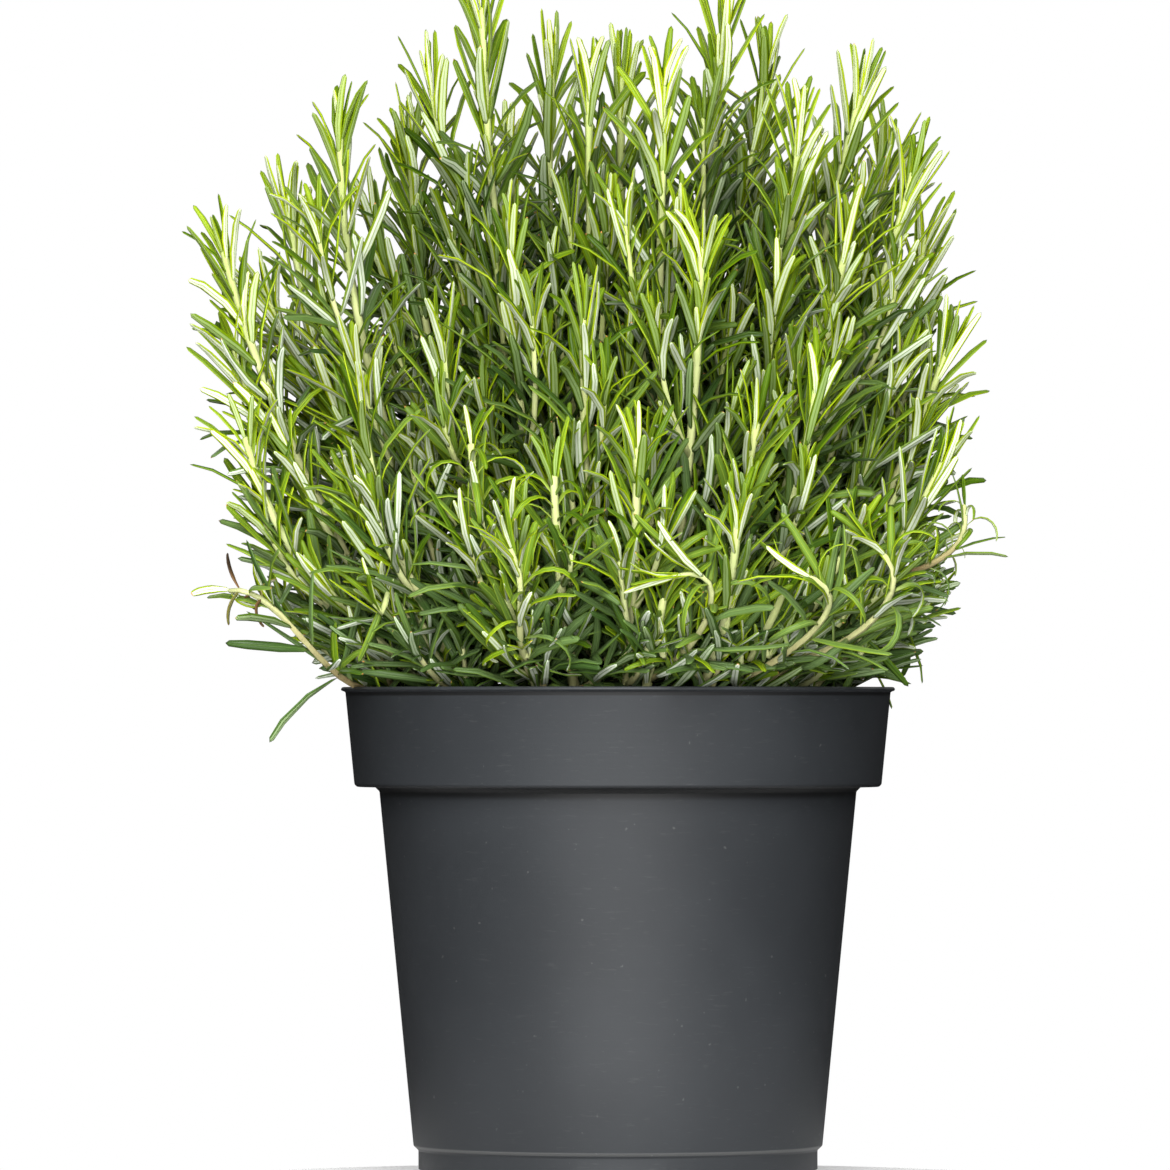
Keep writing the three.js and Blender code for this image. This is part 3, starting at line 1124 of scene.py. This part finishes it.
FRONT_TIPS = (
    Tip(-138, -12, 332, 14), Tip(-116, 25, 350, 8), Tip(-95, -20, 373, 0), Tip(-71, 15, 371, 0),
    Tip(-47, -15, 415, 2), Tip(-22, 38, 400, -6), Tip(-10, -36, 388, 0), Tip(1, 8, 393, 0),
    Tip(15, -58, 386, 0), Tip(38, -6, 415, 5), Tip(52, 34, 398, 4), Tip(62, -42, 373, 4),
    Tip(86, -8, 386, 14), Tip(96, 34, 366, 12), Tip(104, -26, 358, 16), Tip(108, 14, 338, 10),
    Tip(117, -14, 298, 20), Tip(112, 44, 276, 24), Tip(115, -46, 258, 26), Tip(118, 2, 232, 34),
    Tip(98, -60, 214, 44), Tip(104, 30, 206, 48), Tip(-124, 30, 286, 20), Tip(-130, -26, 268, 14),
    Tip(-122, 8, 236, 34), Tip(-108, -44, 214, 44), Tip(-130, -9, 208, 50), Tip(-88, -72, 276, 10),
    Tip(-60, -56, 300, 4), Tip(-50, -104, 264, 6), Tip(-36, -62, 334, 0), Tip(-22, -112, 253, 10),
    Tip(6, -118, 262, 4), Tip(-12, -90, 306, 4), Tip(28, -84, 330, 4), Tip(48, -100, 270, 26),
    Tip(40, -118, 238, 14), Tip(68, -84, 284, 12), Tip(80, -46, 336, 12), Tip(84, -84, 232, 36),
    Tip(58, -108, 210, 46), Tip(16, -120, 208, 48), Tip(-40, -114, 208, 48), Tip(-94, -68, 236, 28),
)
BACK_RINGS = (
    BackRing(5, 84, 362, 8, start=32, stop=148),
    BackRing(5, 118, 300, 20),
    BackRing(4, 122, 232, 38, start=38, stop=142),
)
HABITS = {20: Habit.WISPY, 30: Habit.CURLED_TIP, 32: Habit.CURLED_TIP}
RUNNERS = (
    Runner(42, 0.4, ((34, -102, 186), (38, -115, 214), (18, -117, 207)), Habit.PALE, 0.45),
    Runner(41, 0.4, ((64, -104, 184), (82, -114, 202), (60, -118, 208)), Habit.PALE, 0.45),
    Runner(40, 0.4, ((88, -92, 186), (100, -90, 206), (86, -96, 217)), Habit.PALE, 0.4),
    Runner(43, 0.4, ((-38, -108, 188), (-28, -116, 202), (-36, -120, 216)), Habit.PALE, 0.4),
    Runner(27, 0.3, ((-100, -62, 166), (-112, -72, 206), (-131, -64, 203)), Habit.DRY_TIP, 0.6),
    Runner(24, 0.5, ((110, -50, 198), (120, -46, 212), (117, -44, 232)), Habit.WISPY, 0.5),
)


@dataclass(frozen=True)
class Room:
    """The room that the plant may fill, in millimetres about the pot's axis.

    The step lists read how far the plant reaches from that axis by height, and the skirt is its narrow foot.
    """

    pot: NurseryPot
    soil_top: float = 158.0
    rim_clearance: float = 2.5
    open_rim: float = 91.0
    front_clearance: float = 1.5
    leaf_reach: float = 13.0
    deep_start: float = 0.95
    deep_share: float = 0.75
    crown_top: float = 392.0
    deep_drop: float = 90.0
    skirt: Steps = ((160, 99), (185, 109), (208, 126), (235, 150))
    side_reach: Steps = ((160, 90), (200, 110), (235, 128), (332, 130), (370, 98), (415, 50))
    front_reach: Steps = ((160, 90), (200, 110), (262, 112), (306, 88), (386, 50), (415, 30))
    back_reach: Steps = ((160, 90), (200, 110), (232, 120), (300, 115), (362, 80), (415, 35))

    def is_clear(self, line: list[Vector], leaf_reach: float) -> bool:
        """Returns whether a leaf can grow in a place.

        Args:
            line: Its middle line, from its base.
            leaf_reach: How far out of its base it may go where the skirt is narrower.

        Returns:
            Whether it stays off the soil and the rim, and in that reach.
        """
        rim = self.pot.collar_radius(self.soil_top) - self.pot.wall - self.rim_clearance
        outside = self.pot.lip_radius + self.rim_clearance
        reach = math.hypot(line[0].x, line[0].y) + leaf_reach
        for point in line[1:]:
            radius = math.hypot(point.x, point.y)
            if radius > max(along_steps(point.z, self.skirt), reach):
                return False
            before_rim = radius > rim and abs(point.x) < self.open_rim
            floor = self.soil_top
            if before_rim:
                floor = self.pot.height + self.front_clearance
            elif rim < radius < outside:
                floor = self.pot.height
            if (radius < outside or before_rim) and point.z < floor + self.rim_clearance:
                return False
        return True

    def depth(self, point: Vector) -> float:
        """Returns how deep a place lies in the plant, by which leaves and stems get painted shade.

        Args:
            point: The place.

        Returns:
            Its depth, from 0 at the outside to 1.
        """
        wide = along_steps(point.z, self.side_reach)
        long = along_steps(point.z, self.front_reach if point.y < 0.0 else self.back_reach)
        inward = (self.deep_start - math.hypot(point.x / wide, point.y / long)) / self.deep_share
        return clamp(min(inward, (self.crown_top - point.z) / self.deep_drop))


def scatter(index: int) -> float:
    """Returns the draw from 0 to 1 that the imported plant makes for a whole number."""
    value = math.sin((index + 1) * 12.9898) * 43758.5453
    return value - math.floor(value)


@dataclass(frozen=True)
class Branching:
    """Lays out the plant's shoots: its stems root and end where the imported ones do.

    Sizes are in millimetres. Of the pairs of numbers, crown_heights, spread, bare and maturity run from a
    low tip to a high one, branch_shares and reach_share from a stem's foot to its tip, and reach_most and the
    aims from a short shoot high on its stem to a low one. The others are ranges for draws.
    """

    room: Room
    root_depth: float = 20.0
    stem_rise: float = 14.0
    stem_bend: float = 0.5
    bud_length: float = 13.0
    crown_heights: Range = (205.0, 400.0)
    spread: Range = (0.57, 0.4)
    bare: Range = (2.0, 10.0)
    maturity: Range = (0.42, 0.0)
    root_swing: float = 10.0
    ring_scatter: float = 9.0
    root_radius: float = 1.75
    tip_radius: float = 1.15
    runner_tip_radius: float = 0.75
    branch_free: float = 20.0
    branch_least: int = 3
    branch_steps: Steps = ((40, 23.0), (85, 27.0), (115, 38.0), (138, 58.0))
    branch_shares: Range = (0.04, 0.76)
    branch_swing: float = 35.0
    low_share: float = 0.34
    low_fade: float = 0.12
    open_high: Range = (24.0, 42.0)
    open_low: Range = (44.0, 72.0)
    reach_vary: Range = (0.7, 1.15)
    reach_share: Range = (0.46, 0.26)
    reach_least: float = 30.0
    reach_most: Range = (92.0, 62.0)
    outward_closing: float = 0.6
    aim_along: Range = (0.7, 0.3)
    aim_up: Range = (0.5, 0.3)
    aim_out: Range = (0.12, 0.6)
    aim_swing: float = 0.12
    leave_weight: float = 0.45
    aim_weight: float = 0.55
    leave_pull: float = 0.35
    aim_pull: float = 0.4
    tip_lead: float = 26.0
    maturity_vary: float = 0.25
    low_maturity: float = 0.5

    def tips(self) -> list[Tip]:
        """Returns the tips of all leafy stems, those round the back last, ring by ring."""
        tips = list(FRONT_TIPS)
        for ring in BACK_RINGS:
            for index in range(ring.count):
                draw = (len(tips) - len(FRONT_TIPS)) * 3
                degrees = mix(ring.start, ring.stop, index / (ring.count - 1))
                radius = ring.radius + (scatter(draw) - 0.5) * self.ring_scatter
                height = ring.height + (scatter(draw + 1) - 0.5) * self.ring_scatter * 3
                place = polar(radius, degrees + (scatter(draw + 2) - 0.5) * self.ring_scatter, height)
                tips.append(Tip(place.x, place.y, place.z, ring.lean))
        return tips

    def main_shoot(self, tip: Tip, index: int) -> Shoot:
        """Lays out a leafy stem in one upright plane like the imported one.

        Args:
            tip: Its tip.
            index: Its place among the stems.

        Returns:
            Its shoot.
        """
        low, high = self.crown_heights
        crown = clamp((tip.z - low) / (high - low))
        around = math.degrees(math.atan2(tip.y, tip.x)) + (scatter(index) - 0.5) * self.root_swing
        root = polar(math.hypot(tip.x, tip.y) * mix(*self.spread, crown), around, self.room.soil_top)
        outward = Vector((tip.x - root.x, tip.y - root.y, 0.0)).normalized()
        lean = math.radians(tip.lean)
        direction = outward * math.sin(lean) + UP * math.cos(lean)
        end = Vector((tip.x, tip.y, tip.z)) - direction * self.bud_length
        turn = end - direction * (end - root).length * self.stem_bend
        return Shoot(
            bend=Bend(root, root + UP * self.stem_rise, turn, end), side=UP.cross(outward),
            root_radius=self.root_radius, tip_radius=self.tip_radius, bare=mix(*self.bare, crown),
            maturity=mix(*self.maturity, crown), habit=HABITS.get(index + 1, Habit.PLAIN),
            root_depth=self.root_depth,
        )

    def held(self, end: Vector, main: Shoot) -> Vector:
        """Holds a short shoot's end above the rim, below its stem's tip and inside the skirt.

        Args:
            end: The end.
            main: The stem's own shoot.

        Returns:
            The end, moved where it has to be.
        """
        end.z = max(min(end.z, main.bend.end.z - self.tip_lead), self.room.pot.height + self.bud_length)
        room = along_steps(end.z, self.room.skirt) - self.room.leaf_reach
        inward = min(1.0, room / math.hypot(end.x, end.y))
        return Vector((end.x * inward, end.y * inward, end.z))

    def side_shoot(self, main: Shoot, index: int, count: int, draw: random.Random) -> Shoot:
        """Lays out a short shoot that branches from a leafy stem in a plane of its own.

        Args:
            main: The stem's own shoot.
            index: The short shoot's place along it.
            count: How many it has.
            draw: The draws.

        Returns:
            The short shoot.
        """
        share = mix(*self.branch_shares, (index + draw.random()) / count)
        start = main.bend.point(share)
        along = main.bend.tangent(share)
        swing = draw.uniform(-self.branch_swing, self.branch_swing)
        radial = main.radial(share, 45.0 + 90.0 * index + 180.0 * (index // 2) + swing)
        outward = Vector((start.x, start.y, 0.0)).normalized()
        low = clamp((self.low_share - share) / self.low_fade)
        opening = mix(draw.uniform(*self.open_high), draw.uniform(*self.open_low), low)
        opening *= mix(1.0, self.outward_closing, clamp(radial.dot(outward)) * (1.0 - low))
        turn = math.radians(opening)
        leave = along * math.cos(turn) + radial * math.sin(turn)
        reach = mix(*self.reach_share, share) * main.bend.length * draw.uniform(*self.reach_vary)
        reach = min(max(reach, self.reach_least), mix(*self.reach_most, low))
        aim = along * mix(*self.aim_along, low) + UP * mix(*self.aim_up, low)
        aim += radial * mix(*self.aim_out, low)
        aim = (aim + Vector([draw.uniform(-self.aim_swing, self.aim_swing) for _ in range(3)])).normalized()
        end = self.held(start + (leave * self.leave_weight + aim * self.aim_weight) * reach, main)
        bend = Bend(start, start + leave * reach * self.leave_pull, end - aim * reach * self.aim_pull, end)
        maturity = main.maturity + draw.uniform(0.0, self.maturity_vary) + self.low_maturity * low
        return Shoot(bend=bend, side=leave.cross(aim).normalized(), maturity=maturity)

    def side_shoots(self, main: Shoot, draw: random.Random) -> list[Shoot]:
        """Returns the short shoots of a leafy stem.

        Args:
            main: The stem's own shoot.
            draw: The draws.

        Returns:
            The short shoots, from its foot up.
        """
        far = math.hypot(main.bend.end.x, main.bend.end.y)
        fitting = round((main.bend.length - self.branch_free) / along_steps(far, self.branch_steps)) + 1
        count = max(self.branch_least, fitting)
        return [self.side_shoot(main, index, count, draw) for index in range(count)]

    def runners(self, main: Shoot, number: int) -> list[Shoot]:
        """Returns the shoots with lines of their own that leave a leafy stem.

        Args:
            main: The stem's own shoot.
            number: The stem's number.

        Returns:
            The shoots, if it has any.
        """
        shoots = []
        for runner in RUNNERS:
            if runner.stem == number:
                rise, turn, end = (Vector(point) for point in runner.points)
                start = main.bend.point(runner.share)
                shoots.append(Shoot(
                    bend=Bend(start, rise, turn, end), side=(rise - start).cross(end - turn).normalized(),
                    maturity=runner.maturity, habit=runner.habit, tip_radius=self.runner_tip_radius,
                ))
        return shoots


@dataclass
class Sprig:
    """One leafy stem as it is made: its mesh, the leaves to set on it and its draws."""

    press: LeafPress
    draw: random.Random
    bm: bmesh.types.BMesh = field(default_factory=plant_mesh)


@dataclass(frozen=True)
class Bark:
    """The stems under the leaves: tubes with four soft ribs and slight knots, in millimetres."""

    room: Room
    around: int = 8
    ring_step: float = 7.0
    ring_least: int = 4
    ribs: float = 4.0
    rib: float = 0.08
    knot: float = 0.15
    ages: Steps = ((0, 0.0), (40, 0.3), (100, 0.62), (170, 0.95))
    ripening: float = 0.6
    dry_length: float = 10.0
    dryness: float = 0.8

    def add(self, sprig: Sprig, shoot: Shoot) -> None:
        """Adds a shoot's stem.

        Args:
            sprig: The leafy stem that it belongs to.
            shoot: The shoot.
        """
        rings = max(self.ring_least, round(shoot.bend.length / self.ring_step))
        along = rings + 2

        def place(turned: float, far: float) -> Vector:
            """Returns the bark's point for a share around the stem and a share along it."""
            row = round(far * along)
            share = clamp((row - 1) / rings)
            point = shoot.bend.point(share)
            if row < 2:
                point = point - UP * shoot.root_depth
            if row == 0:
                return point
            if row == along:
                return point + shoot.bend.tangent(1.0) * shoot.tip_radius
            ribs = 1.0 + self.rib * math.cos(self.ribs * math.tau * turned)
            knot = 1.0 + self.knot * (row % 2)
            return point + shoot.radial(share, 360.0 * turned) * (shoot.radius(share) * ribs * knot)

        chance = sprig.draw.random()
        layer = sprig.bm.verts.layers.float_color[TONE]
        line = [shoot.bend.point(row / rings) for row in range(rings + 1)]
        for vert in warp_tube(sprig.bm, self.around, along, place):
            near = min(range(rings + 1), key=lambda row: (line[row] - vert.co).length_squared)
            back = shoot.bend.length * (1.0 - near / rings)
            age = min(1.0, along_steps(back, self.ages) + shoot.maturity * self.ripening)
            dry = shoot.habit is Habit.DRY_TIP and back < self.dry_length
            vert[layer] = (chance, age, self.dryness if dry else 0.0, self.room.depth(vert.co))
            for face in vert.link_faces:
                face.material_index = 1


@dataclass(frozen=True)
class Foliage:
    """Grows the leaves of a shoot. Lengths are in millimetres and angles in degrees.

    The step lists read a size by its distance from the shoot's tip. Pairs of numbers are ranges, but
    open_most and roll run from a young leaf to a ripe one.
    """

    room: Room
    spacing: Steps = ((0, 3.2), (12, 4.8), (30, 6.8))
    opening: Steps = ((0, 5), (8, 11), (22, 18), (50, 26), (90, 40), (150, 60))
    lengths: Steps = ((0, 16), (4, 23), (10, 29), (40, 32), (110, 31), (200, 27))
    widths: Steps = ((0, 2.2), (8, 2.9), (25, 3.4), (60, 3.7), (200, 3.5))
    ages: Steps = ((0, 0.0), (15, 0.18), (40, 0.42), (80, 0.78), (120, 1.0))
    first_pair: float = 0.5
    stem_turn: float = 12.0
    pair_turn: float = 16.0
    spacing_vary: Range = (0.85, 1.15)
    length_vary: Range = (0.82, 1.12)
    width_vary: Range = (0.88, 1.1)
    age_vary: float = 0.15
    open_least: float = 0.6
    open_most: Range = (1.25, 1.9)
    open_vary: Range = (-4.0, 5.0)
    roll: Range = (8.0, 32.0)
    ripe_length: float = 110.0
    ripening: float = 0.9
    deep_age_and_shade: float = 0.2
    young_age: float = 0.25
    old_chance: float = 0.7
    picks: int = 64
    closings: tuple[float, ...] = (1.0, 0.7, 0.45, 0.2)
    fresh_closing: float = 0.6
    curled_part: Range = (5.0, 26.0)
    pale_curl_chance: float = 0.3
    pale_chance: Range = (0.6, 1.0)
    wispy_part: float = 30.0
    wispy_curl_chance: float = 0.6
    wispy_length: float = 0.7
    wispy_width: float = 0.75
    dry_part: float = 15.0
    dry_spacing: float = 1.6
    dry_lengths: Range = (9.0, 18.0)
    dry_widths: Range = (2.4, 3.4)
    dry_spreads: Range = (25.0, 75.0)
    dryness: Range = (0.35, 1.0)
    rust_share: float = 0.14
    rust: Range = (0.15, 0.5)
    tuft_share: float = 0.2
    tuft_start: float = 24.0
    tuft_rise: float = 1.2
    tuft_turns: tuple[float, ...] = (-55.0, 0.0, 55.0)
    tuft_vary: float = 15.0
    tuft_sizes: Range = (0.35, 0.68)
    tuft_fresh: float = 0.55

    def form(self, shoot: Shoot, back: float, age: float, draw: random.Random) -> LeafForm:
        """Picks the kind of a leaf.

        Args:
            shoot: The shoot that it grows on.
            back: How far it is from the shoot's tip.
            age: Its age.
            draw: The draws.

        Returns:
            The kind.
        """
        first, last = self.curled_part
        if first < back < last and shoot.habit is Habit.CURLED_TIP:
            return LeafForm.CURLED
        if back < self.dry_part and shoot.habit is Habit.DRY_TIP:
            return LeafForm.DRY
        if back < self.wispy_part and shoot.habit is Habit.WISPY:
            return LeafForm.CURLED if draw.random() < self.wispy_curl_chance else LeafForm.OLD
        if back > first and shoot.habit is Habit.PALE and draw.random() < self.pale_curl_chance:
            return LeafForm.CURLED
        if age < self.young_age:
            return LeafForm.YOUNG
        return LeafForm.FULL if draw.random() > age * self.old_chance else LeafForm.OLD

    def grow(self, shoot: Shoot, site: LeafSite, depth: float, draw: random.Random) -> Leaf:
        """Grows a leaf.

        Args:
            shoot: The shoot that it grows on.
            site: Where it grows there.
            depth: How deep that is in the plant.
            draw: The draws.

        Returns:
            The leaf.
        """
        grown = site.back * (1.0 + shoot.maturity * self.ripening)
        ripe = clamp(grown / self.ripe_length)
        spread = along_steps(grown, self.opening) * draw.uniform(self.open_least, mix(*self.open_most, ripe))
        spread += draw.uniform(*self.open_vary)
        spread *= mix(1.0, self.fresh_closing, clamp(site.fresh * 2.0))
        length = along_steps(site.back, self.lengths) * site.size * draw.uniform(*self.length_vary)
        width = along_steps(site.back, self.widths) * mix(1.0, site.size, 0.5)
        width *= draw.uniform(*self.width_vary)
        age = along_steps(site.back, self.ages) + shoot.maturity - site.fresh
        age = max(0.0, age + draw.uniform(-self.age_vary, self.age_vary))
        # Deep leaves are aged: partly older inner leaves, partly painted shade through the darker old
        # colours.
        age = min(1.0, age + depth * self.deep_age_and_shade)
        form = self.form(shoot, site.back, age, draw)
        pick = draw.randrange(self.picks)
        if form is LeafForm.DRY:
            length = draw.uniform(*self.dry_lengths)
            width = draw.uniform(*self.dry_widths)
            spread = draw.uniform(*self.dry_spreads)
        if shoot.habit is Habit.WISPY:
            length *= self.wispy_length
            width *= self.wispy_width
        roll = draw.gauss(0.0, mix(*self.roll, ripe))
        return Leaf(form=form, pick=pick, length=length, width=width, spread=spread, roll=roll, age=age)

    def fit(self, leaf: Leaf, seat: Seat, line: list[Vector], leaf_reach: float) -> Matrix | None:
        """Sets a leaf on its seat, closed towards its shoot until it has room.

        Args:
            leaf: The leaf.
            seat: Its seat.
            line: Its middle line, in its own axes.
            leaf_reach: How far out of its base it may go where the plant is narrow.

        Returns:
            Its size, turn and place, or nothing where it has no room.
        """
        roll = Matrix.Rotation(math.radians(leaf.roll), 3, "Y")
        wide = leaf.width / LEAF_WIDTH
        scale = Matrix.Diagonal((wide, leaf.length / LEAF_SHAPES[leaf.form].length, wide))
        for closing in self.closings:
            angle = math.radians(leaf.spread * closing)
            direction = seat.along * math.cos(angle) + seat.radial * math.sin(angle)
            upper = seat.along * math.sin(angle) - seat.radial * math.cos(angle)
            axes = Matrix((direction.cross(upper), direction, upper)).transposed()
            matrix = Matrix.Translation(seat.base) @ (axes @ roll @ scale).to_4x4()
            if self.room.is_clear([matrix @ point for point in line], leaf_reach):
                return matrix
        return None

    def tone(self, leaf: Leaf, habit: Habit, depth: float, draw: random.Random) -> Tone:
        """Draws what a leaf's mesh notes for its colour.

        Args:
            leaf: The leaf.
            habit: How its shoot grows.
            depth: How deep it is in the plant.
            draw: The draws.

        Returns:
            Its chance, age, dryness and depth.
        """
        dryness = draw.uniform(*self.dryness) if leaf.form is LeafForm.DRY else 0.0
        if draw.random() < self.rust_share:
            dryness = max(dryness, draw.uniform(*self.rust))
        chance = draw.uniform(*self.pale_chance) if habit is Habit.PALE else draw.random()
        return (chance, leaf.age, dryness, depth)

    def add_leaf(self, sprig: Sprig, shoot: Shoot, site: LeafSite) -> None:
        """Adds one leaf where it has room.

        Args:
            sprig: The leafy stem that it belongs to.
            shoot: The shoot that it grows on.
            site: Where it grows there.
        """
        seat = shoot.seat(site)
        depth = self.room.depth(seat.base)
        leaf = self.grow(shoot, site, depth, sprig.draw)
        leaf_reach = self.room.leaf_reach if shoot.habit is Habit.PLAIN else leaf.length
        matrix = self.fit(leaf, seat, sprig.press.line(leaf.form, leaf.pick), leaf_reach)
        if matrix is not None:
            tone = self.tone(leaf, shoot.habit, depth, sprig.draw)
            sprig.press.add(sprig.bm, leaf.form, leaf.pick, matrix, tone)

    def add_tuft(self, sprig: Sprig, shoot: Shoot, back: float, around: float) -> None:
        """Adds the few small fresh leaves of a bud that opens above a leaf.

        Args:
            sprig: The leafy stem that they belong to.
            shoot: The shoot that they grow on.
            back: How far the leaf is from the shoot's tip.
            around: How it is turned about the shoot.
        """
        for turn in self.tuft_turns:
            turned = around + turn + sprig.draw.uniform(-self.tuft_vary, self.tuft_vary)
            size = sprig.draw.uniform(*self.tuft_sizes)
            site = LeafSite(back - self.tuft_rise, turned, size=size, fresh=self.tuft_fresh)
            self.add_leaf(sprig, shoot, site)

    def add(self, sprig: Sprig, shoot: Shoot) -> None:
        """Adds a shoot's leaves in opposite pairs, each pair turned across the last, with axil tufts.

        Args:
            sprig: The leafy stem that they belong to.
            shoot: The shoot.
        """
        draw = sprig.draw
        back = self.first_pair
        pair = 0
        turned = draw.uniform(-self.stem_turn, self.stem_turn)
        while back < shoot.bend.length - shoot.bare:
            for half in (0.0, 180.0):
                swing = draw.uniform(-self.pair_turn, self.pair_turn)
                around = 45.0 + turned + 90.0 * (pair % 2) + half + swing
                self.add_leaf(sprig, shoot, LeafSite(back, around))
                if back > self.tuft_start and draw.random() < self.tuft_share:
                    self.add_tuft(sprig, shoot, back, around)
            loose = self.dry_spacing if shoot.habit is Habit.DRY_TIP and back > self.dry_part else 1.0
            back += along_steps(back, self.spacing) * draw.uniform(*self.spacing_vary) * loose
            pair += 1


@dataclass(frozen=True)
class Rosemary:
    """The plant, with one piece for each leafy stem."""

    pot: NurseryPot

    def build(self) -> list[bpy.types.Object]:
        """Builds the leafy stems.

        Returns:
            Their pieces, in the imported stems' order.
        """
        room = Room(self.pot)
        branching, bark, foliage = Branching(room), Bark(room), Foliage(room)
        press = LeafPress(random.Random(SEED))
        materials = [LeafSkin().material(), StemBark().material()]
        pieces = []
        for index, tip in enumerate(branching.tips()):
            sprig = Sprig(press, random.Random(SEED + index))
            main = branching.main_shoot(tip, index)
            sides = branching.side_shoots(main, sprig.draw)
            shoots = [main, *sides, *branching.runners(main, index + 1)]
            for shoot in shoots:
                foliage.add(sprig, shoot)
            for shoot in shoots:
                bark.add(sprig, shoot)
            bmesh.ops.transform(sprig.bm, matrix=self.pot.centre, verts=sprig.bm.verts)
            piece = add_object(f"rosemary_stem_{index + 1:02d}", sprig.bm, materials)
            add_piece(piece, f"leafy_stem_{index + 1:02d}")
            pieces.append(piece)
        press.clear()
        return pieces


@dataclass(frozen=True)
class Softbox:
    """A square area light in millimetres about the pot's axis."""

    name: str
    place: Place
    size: float
    power: float
    aim: Place = (0.0, 0.0, 210.0)


@dataclass(frozen=True)
class Studio:
    """The floor, the lights, the white surround and the camera, in millimetres about the pot's axis.

    Its centre turns them into the frame's metres.
    """

    centre: Matrix
    camera_place: Place = (-11.3, -3400.0, 162.0)
    camera_aim: Place = (-11.3, 0.0, 205.8)
    lens: float = 305.0
    sight: float = 20000.0
    floor_radius: float = 165.0
    floor_sides: int = 96
    surround: Colour = (1.0, 1.0, 1.0)
    glow_above: Colour = (0.085, 0.085, 0.085)
    glow_below: Colour = (0.01, 0.01, 0.01)
    boxes: tuple[Softbox, ...] = (
        Softbox("key_box", (-80.0, -2250.0, 1550.0), 1400.0, 115.0),
        Softbox("front_box", (0.0, -2600.0, 150.0), 2800.0, 133.0),
        Softbox("back_left_box", (-1400.0, 1500.0, 1500.0), 1200.0, 16.0),
        Softbox("back_right_box", (1400.0, 1500.0, 1500.0), 1200.0, 16.0),
    )

    def set_up(
        self, name: str, data: bpy.types.Camera | bpy.types.Light, place: Place, aim: Place
    ) -> bpy.types.Object:
        """Sets up a camera or a lamp.

        Args:
            name: Its name.
            data: What it is.
            place: Where it stands.
            aim: What it looks at.

        Returns:
            Its object.
        """
        start = self.centre @ Vector(place)
        turn = (self.centre @ Vector(aim) - start).to_track_quat("-Z", "Y")
        holder = bpy.data.objects.new(name, data)
        holder.matrix_world = Matrix.Translation(start) @ turn.to_matrix().to_4x4()
        bpy.context.scene.collection.objects.link(holder)
        return holder

    def add_floor(self) -> None:
        """Lays the pale floor."""
        bm = bmesh.new()
        bmesh.ops.create_circle(bm, cap_ends=True, segments=self.floor_sides, radius=self.floor_radius)
        bmesh.ops.transform(bm, matrix=self.centre, verts=bm.verts)
        add_object("floor", bm, [PaleFloor().material()])

    def add_lights(self) -> None:
        """Hangs the soft lights."""
        for box in self.boxes:
            light = bpy.data.lights.new(box.name, "AREA")
            light.size = box.size * MM
            light.energy = box.power
            self.set_up(box.name, light, box.place, box.aim)

    def add_surround(self) -> None:
        """Makes the surround white to look at and dimmer as a light, most of which comes from above."""
        world = bpy.data.worlds.new("studio")
        bpy.context.scene.world = world
        tree = ShaderTree(world)
        height = tree.split(tree.node("ShaderNodeTexCoord", {}, {}).outputs["Generated"])[2]
        seen = Value(tree, tree.node("ShaderNodeLightPath", {}, {}).outputs["Is Camera Ray"])
        glow = tree.blend(height.rise(0.1, 0.9), self.glow_below, self.glow_above)
        shader = tree.node("ShaderNodeBackground", {}, {"Color": tree.blend(seen, glow, self.surround)})
        tree.node("ShaderNodeOutputWorld", {}, {"Surface": shader.outputs[0]})

    def add_camera(self) -> None:
        """Sets up the camera at the photograph's height and distance."""
        camera = bpy.data.cameras.new("camera")
        camera.lens = self.lens
        camera.clip_end = self.sight * MM
        bpy.context.scene.camera = self.set_up("camera", camera, self.camera_place, self.camera_aim)

    def build(self) -> None:
        """Builds the whole studio."""
        self.add_camera()
        self.add_floor()
        self.add_lights()
        self.add_surround()
        bpy.context.scene.view_settings.view_transform = "Standard"


def main() -> None:
    """Builds the studio and every piece, and notes the sizes."""
    logging.basicConfig(level=logging.INFO, format="%(message)s")
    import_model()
    low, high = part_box("pot")
    centre = Matrix.Translation(((low.x + high.x) / 2, (low.y + high.y) / 2, 0.0)) @ Matrix.Scale(MM, 4)
    Studio(centre).build()
    pot = NurseryPot(centre)
    for piece in (pot.build(), SoilBed(pot).build(), *Rosemary(pot).build()):
        LOG.info("%s has %d faces", piece.name, len(piece.data.polygons))
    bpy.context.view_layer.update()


if __name__ == "__main__":
    main()
